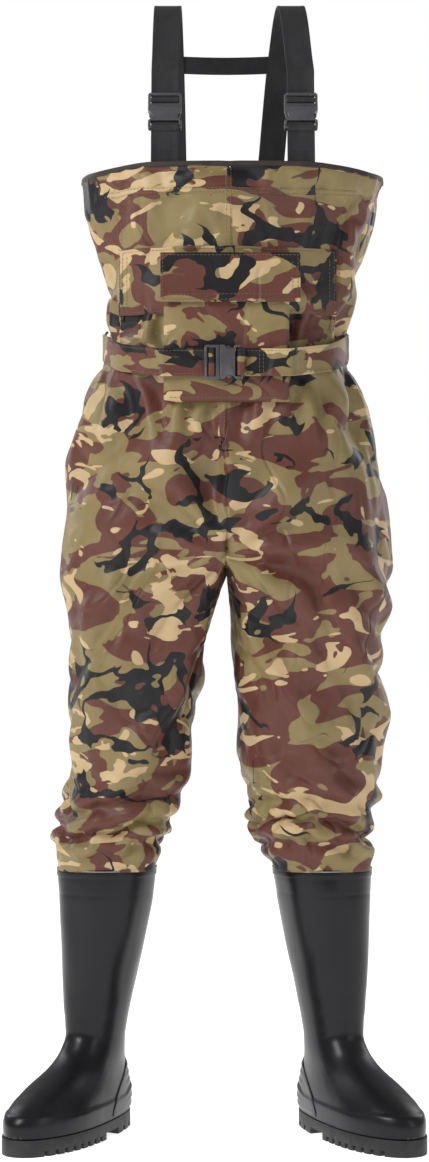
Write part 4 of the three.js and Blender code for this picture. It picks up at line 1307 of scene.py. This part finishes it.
def turn_round_bar(name, frame_matrix, material):
    """The sewn web's turn round the socket's bar, which fills the bar's slot."""
    route = [
        (0.0000, -0.0040), (-0.0036, -0.0014), (-0.0046, 0.0026), (-0.0032, 0.0068), (0.0012, 0.0086),
        (0.0062, 0.0072), (0.0078, 0.0030), (0.0066, -0.0012), (0.0030, -0.0042),
    ]
    path = smooth_path([Vector((0, y, z)) for y, z in route], 0.0010)
    outs = [Vector((0, p.y - 0.0015, p.z - 0.002)).normalized() for p in path]
    profile = web_profile(WEB_WIDTH - 0.0004, 0.0018, 0.0016)
    turn = sweep(f"{name}_bar_web", path, outs, profile, material, across=X_AXIS)
    turn.data.transform(frame_matrix)
    return turn


def make_anchor(side, webbing, thread):
    """Web from inside the bib up round the socket's bar, sewn back on itself."""
    node = f"{side}_anchor_web"
    rings = chain(band_rings(node, 0), Vector((0, 0, 1.2)))
    foot, rim, end = rings[0], rings[1], rings[-1]
    run = (end - rim).normalized()
    back = Vector((0, run.z, -run.y))
    route = [foot, foot.lerp(rim, 0.5), rim, rim.lerp(end, 0.35), rim.lerp(end, 0.8), end - run * 0.001]
    path = smooth_path(route, 0.004)
    normals = strap_normals(path)
    profile = web_profile(WEB_WIDTH, WEB_THICK)
    web = sweep(f"{side}_anchor_face", path, normals, profile, webbing, across=X_AXIS)
    start = rim.lerp(end, 0.12) + back * 0.0026
    fold = [start, rim.lerp(end, 0.5) + back * 0.0027, end + back * 0.0028 - run * 0.0015]
    under_path = smooth_path(fold, 0.004)
    profile = web_profile(WEB_WIDTH - 0.0006, 0.0022)
    outs = strap_normals(under_path)
    under = sweep(f"{side}_anchor_back", under_path, outs, profile, webbing, across=X_AXIS)
    parts = [web, under, turn_round_bar(side, buckle_frame(f"{side}_shoulder"), webbing)]
    for share in (0.20, 0.30):
        middle = rim.lerp(end, share) - back * WEB_THICK * 0.46
        parts.append(tack(f"{node}_tack{share}", middle, X_AXIS, -back, 0.015, thread, *TACK_SIZE))
    whole_piece(f"{side}_anchor", parts, 45, "root", "black_webbing", node)


def make_cross_strap(webbing, thread):
    """Web between the two back straps, sagging a little, with two tacks at each end."""
    low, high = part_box("cross_strap")
    corners = [v.co for v in NODES["cross_strap"].data.vertices]
    at_left = [p for p in corners if p.x > high.x - 0.002]
    at_right = [p for p in corners if p.x < low.x + 0.002]
    left = sum(at_left, Vector()) / len(at_left)
    right = sum(at_right, Vector()) / len(at_right)
    tall = 0.0248
    points = []
    for k in range(41):
        t = k / 40
        p = right.lerp(left, t)
        sag = -0.0030 * math.sin(math.pi * t)
        points.append(p + Vector((0, 0, sag)))
    lean = Vector((0, high.y - low.y - 0.0016, -(high.z - low.z))).normalized()
    upright = -lean
    normal = X_AXIS.cross(upright).normalized()
    normal = normal if normal.y > 0 else -normal
    verts = []
    profile = web_profile(tall, 0.0016, 0.0016)
    for p in points:
        verts += [p + upright * u + normal * v for u, v in profile]
    faces = grid_faces(len(points), len(profile), close_columns=True)
    faces += [tuple(range(len(profile))), tuple(range(len(verts) - len(profile), len(verts)))]
    web = outward(mesh_object("cross_web", verts, faces, webbing))
    parts = [web]
    for k, share in enumerate((0.04, 0.13, 0.87, 0.96)):
        middle = right.lerp(left, share) + normal * 0.0009
        parts.append(tack(f"cross_tack{k}", middle, upright, normal, 0.010, thread, *TACK_SIZE))
    whole_piece("cross_strap_web", parts, 45, "root", "black_webbing", "cross_strap")


# ---------------------------------------------------------------- buckles
def buckle_frame(name):
    """Matrix from a buckle's own frame (web along +Z, outside -Y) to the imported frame."""
    if name == "belt":
        low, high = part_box("belt_socket")
        origin = Vector((high.x, (low.y + high.y) / 2, (low.z + high.z) / 2))
        turn = Matrix(((0, 0, -1), (0, 1, 0), (1, 0, 0))).to_4x4()
        return Matrix.Translation(origin) @ turn
    rings = chain(band_rings(f"{name}_anchor_web".replace("_shoulder", ""), 0), Vector((0, 0, 1.2)))
    run = (rings[-1] - rings[1]).normalized()
    lean = math.atan2(run.y, run.z)
    origin = rings[-1] + run * 0.0003
    return Matrix.Translation(origin) @ Matrix.Rotation(-lean, 4, "X")


def box_mesh(name, low, high, material, edge=0.0006):
    bm = bmesh.new()
    bmesh.ops.create_cube(bm, size=1)
    for vertex in bm.verts:
        for k in range(3):
            vertex.co[k] = low[k] if vertex.co[k] < 0 else high[k]
    mesh = bpy.data.meshes.new(name)
    bm.to_mesh(mesh)
    bm.free()
    mesh.materials.append(material)
    obj = placed(name, mesh)
    if edge:
        bevel(obj, edge, 2)
    return obj


def prism(name, outline, low_y, high_y, material):
    """Solid with an (x, z) outline between two depths."""
    count = len(outline)
    verts = [(x, low_y, z) for x, z in outline] + [(x, high_y, z) for x, z in outline]
    faces = [tuple(range(count)), tuple(range(2 * count - 1, count - 1, -1))]
    faces += [(i, (i + 1) % count, (i + 1) % count + count, i + count) for i in range(count)]
    return outward(mesh_object(name, verts, faces, material, smooth=False))


def cutter(low, high, material):
    return box_mesh("cutter", low, high, material, 0)


def cut(obj, cutters):
    for tool in cutters:
        modifier = obj.modifiers.new("cut", "BOOLEAN")
        modifier.operation = "DIFFERENCE"
        modifier.solver = "EXACT"
        modifier.object = tool
    bpy.context.view_layer.update()
    apply_modifiers(obj)
    for tool in cutters:
        bpy.data.objects.remove(tool)
    return obj


def arc_points(cx, cz, radius, start, end, steps=6):
    return [
        (cx + radius * math.cos(math.radians(a)), cz + radius * math.sin(math.radians(a)))
        for a in np.linspace(start, end, steps + 1)
    ]


# Heights are in the buckle's own frame: 0 is the foot of the socket and the web runs along +Z.
HALF = 0.022  # half of the buckle's width
SLOT_HALF = 0.0186  # half of each web slot's width
SLOT_LOW, SLOT_HIGH = 0.0040, 0.0104  # slot for the sewn web
CAVITY_HALF = 0.0190
CAVITY_LOW = 0.0124
CAVITY_DEPTH = 0.0027  # from the middle plane to each face of the cavity
SOCKET_DEPTH = 0.0060  # from the middle plane to each face of the socket
LADDER_DEPTH = 0.0025
LADDER_LOW, LADDER_HIGH = 0.0303, 0.0503
BAR_LOW, BAR_HIGH = 0.0388, 0.0428
LADDER_SLOTS = ((0.0353, BAR_LOW), (BAR_HIGH, 0.0463))


def socket_outline():
    """Flared foot, waisted sides where the prongs show, and a rounded mouth."""
    right = arc_points(0.0195, 0.0025, 0.0025, -90, 0)
    right += [(HALF, 0.0088), (HALF - 0.0004, 0.0100)]
    right += arc_points(HALF + 0.0015, 0.0172, 0.0068, -115, -245, 8)
    right += [(HALF - 0.0004, 0.0244), (HALF, 0.0257)]
    right += arc_points(0.0205, 0.0285, 0.0015, 0, 90, 4)
    left = [(-x, z) for x, z in reversed(right)]
    return right + left


def buckle_piece(name, parts, frame_matrix, body, node):
    whole = join(name, parts)
    whole.data.transform(frame_matrix)
    shade_by_angle(whole, 35)
    finish_piece(whole, body, "buckle_plastic", node)


def make_socket(name, frame_matrix, plastic):
    body = prism(f"{name}_socket_body", socket_outline(), -SOCKET_DEPTH, SOCKET_DEPTH, plastic)
    cutters = [
        cutter((-SLOT_HALF, -0.02, SLOT_LOW), (SLOT_HALF, 0.02, SLOT_HIGH), plastic),
        cutter((-CAVITY_HALF, -CAVITY_DEPTH, CAVITY_LOW), (CAVITY_HALF, CAVITY_DEPTH, 0.04), plastic),
        cutter((-0.03, -CAVITY_DEPTH, 0.0132), (0.03, CAVITY_DEPTH, 0.0216), plastic),
        cutter((-0.03, -0.02, -0.01), (0.03, -0.0030, SLOT_LOW), plastic),
    ]
    cut(body, cutters)
    bevel(body, 0.0009, 3, 30)
    lip = box_mesh("lip", (-0.0160, -0.00635, 0.0276), (0.0160, -0.0056, 0.0292), plastic, 0.0004)
    buckle_piece(f"{name}_socket_shell", [body, lip], frame_matrix, "root", f"{name}_socket")


def make_ladder(name, frame_matrix, plastic):
    right = [(HALF, LADDER_LOW)] + arc_points(HALF - 0.004, LADDER_HIGH - 0.004, 0.004, 0, 90, 6)
    outline = right + [(-x, z) for x, z in reversed(right)]
    body = prism(f"{name}_ladder_body", outline, -LADDER_DEPTH, LADDER_DEPTH, plastic)
    cut(body, [cutter((-SLOT_HALF, -0.02, a), (SLOT_HALF, 0.02, b), plastic) for a, b in LADDER_SLOTS])
    bevel(body, 0.0008, 3, 30)
    edge = [(0.0025, 0.0133), (0.0040, 0.0150), (0.0040, 0.0310)]
    tongue_outline = [(-x, z) for x, z in reversed(edge)] + edge
    tongue = prism("tongue", tongue_outline, -0.0019, 0.0019, plastic)
    bevel(tongue, 0.0006, 2)
    lip = box_mesh("ladder_lip", (-0.0185, -0.0034, 0.0470), (0.0185, -0.0010, 0.0496), plastic, 0.0009)
    node = f"{name}_ladder"
    buckle_piece(f"{name}_ladder_frame", [body, tongue, lip], frame_matrix, node, node)


def make_bar_turn(name, frame_matrix, material, slot):
    """The web's turn round the ladder's middle bar."""
    middle = (BAR_LOW + BAR_HIGH) / 2
    route = [
        (0.0017, 0.0366), (-0.0005, 0.0370), (-0.0030, 0.0379), (-0.0036, middle), (-0.0030, 0.0437),
        (-0.0005, 0.0446), (0.0017, 0.0450),
    ]
    path = smooth_path([Vector((0, y, z)) for y, z in route], 0.0008)
    outs = [Vector((0, p.y - 0.003, p.z - middle)).normalized() for p in path]
    profile = web_profile(WEB_WIDTH - 0.0004, 0.0012, 0.0016)
    turn = sweep(f"{name}_turned_web", path, outs, profile, material, across=X_AXIS)
    turn.data.transform(frame_matrix)
    shade_by_angle(turn, 50)
    finish_piece(turn, f"{name}_ladder", slot, f"{name}_bar_turn")


def make_buckles(plastic, webbing, belt_web):
    for name in ("left_shoulder", "right_shoulder", "belt"):
        frame_matrix = buckle_frame(name)
        make_socket(name, frame_matrix, plastic)
        make_ladder(name, frame_matrix, plastic)
        for letter in ("a", "b"):
            node = f"{name}_prong_{letter}"
            prong = copy_node(node, f"{name}_arm_{letter}", plastic, 0.0005)
            finish_piece(prong, node, "buckle_plastic", node)
        if name == "belt":
            make_bar_turn(name, frame_matrix, belt_web, "camo_webbing")
        else:
            make_bar_turn(name, frame_matrix, webbing, "black_webbing")


# ---------------------------------------------------------------- belt and its loops
def make_belt(camo, thread):
    rings = band_rings("belt_webbing", 2)
    middle = Vector((SEAM_X, 0, 0))
    front = -math.pi / 2

    def turn_from_socket(p):
        return (math.atan2(p.y - middle.y, p.x - middle.x) - front - 0.055) % (2 * math.pi)

    path = smooth_path(densely(sorted(rings, key=turn_from_socket)), 0.006)
    runs = tangents(path)
    outs = []
    for p, run in zip(path, runs):
        out = run.cross(Vector((0, 0, 1)))
        outward_from_middle = Vector((p.x - middle.x, p.y - middle.y, 0))
        outs.append((out if out.dot(outward_from_middle) > 0 else -out).normalized())
    soft = []
    for i, (p, o) in enumerate(zip(path, outs)):
        calm = 1 - hump(p.x, 0.012, 0.075) * rise(-p.y, 0.08, 0.11)
        wave = calm * (0.0006 * math.sin(i * 0.31) + 0.0005 * math.sin(i * 0.83))
        soft.append(p + o * (wave - (1 - calm) * LADDER_CLEARANCE / 2))
    web = sweep("belt_web", soft, outs, web_profile(WEB_WIDTH, WEB_THICK, 0.0030), camo)
    parts = [web, turn_round_bar("belt", buckle_frame("belt"), camo)]
    size = 0.0034, 0.0016, 0.0003, 0.0
    parts += rows_along("belt", soft, outs, (-0.0148, 0.0148), WEB_THICK * 0.44, thread, *size)
    for x in (0.060, 0.064):
        near = min(range(len(soft)), key=lambda i: abs(soft[i].x - x) + (1 if soft[i].y > -0.05 else 0))
        p, o, run = soft[near], outs[near], runs[near]
        side = run.cross(o).normalized()
        parts.append(tack(f"belt_tack{x}", p + o * WEB_THICK * 0.52, side, o, 0.016, thread))
    whole_piece("belt", parts, 45, "root", "camo_webbing", "belt_webbing")


def make_loops(camo, thread):
    """Loops of belt fabric that hold the belt at the sides and the back."""
    outward_directions = {
        "left": Vector((1, 0.12, 0)),
        "right": Vector((-1, 0.12, 0)),
        "back": Vector((0, 1, 0)),
    }
    for which, out in outward_directions.items():
        node = f"belt_loop_{which}"
        low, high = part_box(node)
        middle = (low + high) / 2
        out = out.normalized()
        across = Vector((0, 0, 1)).cross(out).normalized()
        deep = min(high.x - low.x, high.y - low.y) / 2
        half = (high.z - low.z) / 2
        outer = middle + out * (deep - 0.0010)
        inner = middle - out * (deep - 0.0012)
        route = [
            inner + Vector((0, 0, -half + 0.001)), inner + Vector((0, 0, -half + 0.003)) + out * 0.0016,
            outer + Vector((0, 0, -half + 0.010)), outer, outer + Vector((0, 0, half - 0.010)),
            inner + Vector((0, 0, half - 0.003)) + out * 0.0016, inner + Vector((0, 0, half - 0.001)),
        ]
        path = smooth_path(route, 0.0025)
        outs = [out] * len(path)
        strip = sweep(f"{node}_strip", path, outs, web_profile(0.0118, 0.0015, 0.0014), camo, across=across)
        parts = [strip]
        for z in (-half + 0.0055, half - 0.0055):
            spot = outer + Vector((0, 0, z)) - out * 0.0006
            parts.append(tack(f"{node}_tack{z}", spot, across, out, 0.0045, thread, *SMALL_TACK_SIZE))
        whole_piece(f"{node}_web", parts, 45, "root", "camo_webbing", node)


# ---------------------------------------------------------------- bib trim and pocket
HEM_TALL, HEM_THICK = 0.0072, 0.0032
SHEET_THICK = 0.0016  # the pocket's sheets


def rim_loop(halves):
    """Top edge of the shell, once round."""
    points = []
    for obj in halves.values():
        points += [v.co.copy() for v in obj.data.vertices if v.co.z > RIM_Z - 0.0120]
    middle = sum(points, Vector()) / len(points)
    bins = {}
    for p in points:
        turn = math.atan2(p.y - middle.y, p.x - middle.x)
        key = round(turn / (2 * math.pi) * 180) % 180
        if key not in bins or p.z > bins[key].z:
            bins[key] = p
    return [bins[k] for k in sorted(bins)], middle


def make_hem(halves, binding, thread):
    loop, middle = rim_loop(halves)
    path, outs = [], []
    for p in loop:
        out = Vector((p.x - middle.x, (p.y - middle.y) * 1.6, 0)).normalized()
        path.append(Vector((p.x, p.y, p.z + 0.0012)) - out * 0.0004)
        outs.append(out)
    for _ in range(3):
        path = [(path[i - 1] + path[i] * 2 + path[(i + 1) % len(path)]) / 4 for i in range(len(path))]
    hem = sweep("hem_binding", path, outs, round_profile(HEM_TALL, HEM_THICK), binding, closed=True)
    line = [p + o * 0.0018 + Vector((0, 0, -0.0022)) for p, o in zip(path, outs)]
    row = stitches("hem_row", line + line[:1], outs + outs[:1], thread, 0.0032, 0.0016, 0.0003, 0.0)
    whole_piece("rim_binding", [hem, row], 50, "root", "camo_fabric", "bib_hem")


def make_pocket(skin, camo, flap_camo, thread, felt):
    warm_low, warm_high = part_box("hand_warmer_panel")
    panel, grid = front_patch(
        "warmer_sheet", skin, (warm_low.x, warm_low.z), (warm_high.x, warm_high.z),
        lambda u, v, y: y - 0.0030 - 0.0012 * (1 - u * u) * (1 - v * v), SHEET_THICK, camo,
    )
    inner = inset_corners(grid, 0.0095)
    lines = inset_corners(grid, 0.0035), inner[1:3], inner[3:5]
    rows = [stitch_line_on(f"warmer_row_{k}", grid, line, thread) for k, line in enumerate(lines)]
    whole_piece("hand_warmer", [panel] + rows, 45, "root", "camo_fabric", "hand_warmer_panel")

    low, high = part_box("pocket_pouch")

    def pouch_depth(u, v, y):
        edge = 1 - max(abs(u) ** 7, (max(-v, 0)) ** 9)
        belly = math.sqrt(max(edge, 0))
        sag = 0.93 + 0.07 * wobble(u * 2, v * 2, 4)
        return high.y - 0.0006 - (high.y - low.y - 0.0012) * belly * sag

    pouch, grid = front_patch(
        "pouch_sheet", skin, (low.x, low.z), (high.x, high.z), pouch_depth, SHEET_THICK, camo,
        cell=0.0028,
    )
    lines = ((-0.95, 0.955), (0.95, 0.955)), ((-0.9, -0.93), (0.9, -0.93))
    rows = [stitch_line_on(f"pouch_row_{k}", grid, line, thread) for k, line in enumerate(lines)]
    whole_piece("chest_pocket", [pouch] + rows, 45, "root", "camo_fabric", "pocket_pouch")

    low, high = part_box("pocket_flap")

    def flap_depth(u, v, y):
        drop = (1 - v) / 2
        curl = 0.0012 * drop ** 3 * (0.6 + 0.4 * u) + 0.0007 * math.sin(u * 5 + 1) * drop
        return high.y - 0.0016 - 0.0004 * (1 - abs(u) ** 4) * drop - curl

    flap, grid = front_patch(
        "flap_sheet", skin, (low.x, low.z), (high.x, high.z - 0.0002), flap_depth, SHEET_THICK, flap_camo,
        cell=0.003,
    )
    lines = inset_corners(grid, 0.0032), inset_corners(grid, 0.0100)[:3]
    rows = [stitch_line_on(f"flap_row_{k}", grid, line, thread) for k, line in enumerate(lines)]
    whole_piece("pocket_cover", [flap] + rows, 45, "pocket_flap", "camo_fabric", "pocket_flap")

    low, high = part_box("flap_seam")
    middle = (low + high) / 2
    path = [Vector((low.x + (high.x - low.x) * k / 40, middle.y, middle.z)) for k in range(41)]
    ups = [Vector((0, 0, 1))] * len(path)
    seam = sweep("flap_fold", path, ups, round_profile(high.y - low.y, high.z - low.z), flap_camo)
    finish_piece(seam, "root", "camo_fabric", "flap_seam")
    for node, body in (("pocket_loop_tape", "root"), ("flap_hook_tape", "pocket_flap")):
        tape = copy_node(node, f"{node}_pile", felt, 0.0003)
        finish_piece(tape, body, "closure_tape", node)


def make_seams(skin, camo, thread):
    """Seams that show on the front of the bib and on the fly."""
    rows = {
        "centre_seam": [(0.0185, 1.278), (0.018, 1.23), (0.0175, 1.172)],
        "yoke_seam": [(-0.145, 1.250), (-0.06, 1.2495), (0.02, 1.2500), (0.10, 1.2505), (0.185, 1.252)],
        "fly_seam": [(0.0105, 0.972), (0.0100, 0.94), (0.0105, 0.905)],
        "warmer_edge_right": [(-0.125, 1.225), (-0.124, 1.18), (-0.122, 1.085)],
        "warmer_edge_left": [(0.163, 1.180), (0.160, 1.12), (0.154, 1.072)],
    }
    for name, corners in rows.items():
        seam = lay_seam(name, skin, corners, camo, thread)
        shade_by_angle(seam, 50)
        finish_piece(seam, "root", "camo_fabric")


# ---------------------------------------------------------------- the scene
make_camera()
make_stage()
CAMO = camo_material("camo_shell", (0, 0, 0))
CAMO_FLAP = camo_material("camo_flap", (4.3, 1.2, 2.2))
CAMO_BELT = camo_material("camo_belt", (7.7, 3.1, 0.6))
CAMO_PANEL = camo_material("camo_panel", (2.4, 6.1, 3.2))
LINING = felt_material("lining")
BINDING = webbing_material("rim_tape", srgb(44, 38, 33))
WELD_EDGE = webbing_material("weld_edge", srgb(120, 116, 104))
WEBBING = webbing_material("webbing_black")
PLASTIC = plastic_material("buckle_acetal")
PVC = pvc_material("boot_pvc")
COUNTER = pvc_material("counter_pvc", (0.030, 0.030, 0.033), (0.040, 0.040, 0.044))
RUBBER = rubber_material("sole_rubber")
FELT = felt_material("felt")
TAN_THREAD = thread_material("thread_tan", srgb(120, 104, 76))
DARK_THREAD = thread_material("thread_dark", srgb(38, 36, 36))
shell = make_shell(CAMO, LINING)
surface = Skin(shell.values())
make_hem(shell, BINDING, DARK_THREAD)
make_pocket(surface, CAMO_PANEL, CAMO_FLAP, TAN_THREAD, FELT)
make_seams(surface, CAMO, TAN_THREAD)
for side_name, half in shell.items():
    thicken_shell(half, side_name)
make_boots(PVC, COUNTER, RUBBER, FELT, LINING, WELD_EDGE)
for side_name in ("left", "right"):
    make_strap(side_name, WEBBING, DARK_THREAD)
    make_anchor(side_name, WEBBING, DARK_THREAD)
make_cross_strap(WEBBING, DARK_THREAD)
make_buckles(PLASTIC, WEBBING, CAMO_BELT)
make_belt(CAMO_BELT, TAN_THREAD)
make_loops(CAMO_BELT, TAN_THREAD)
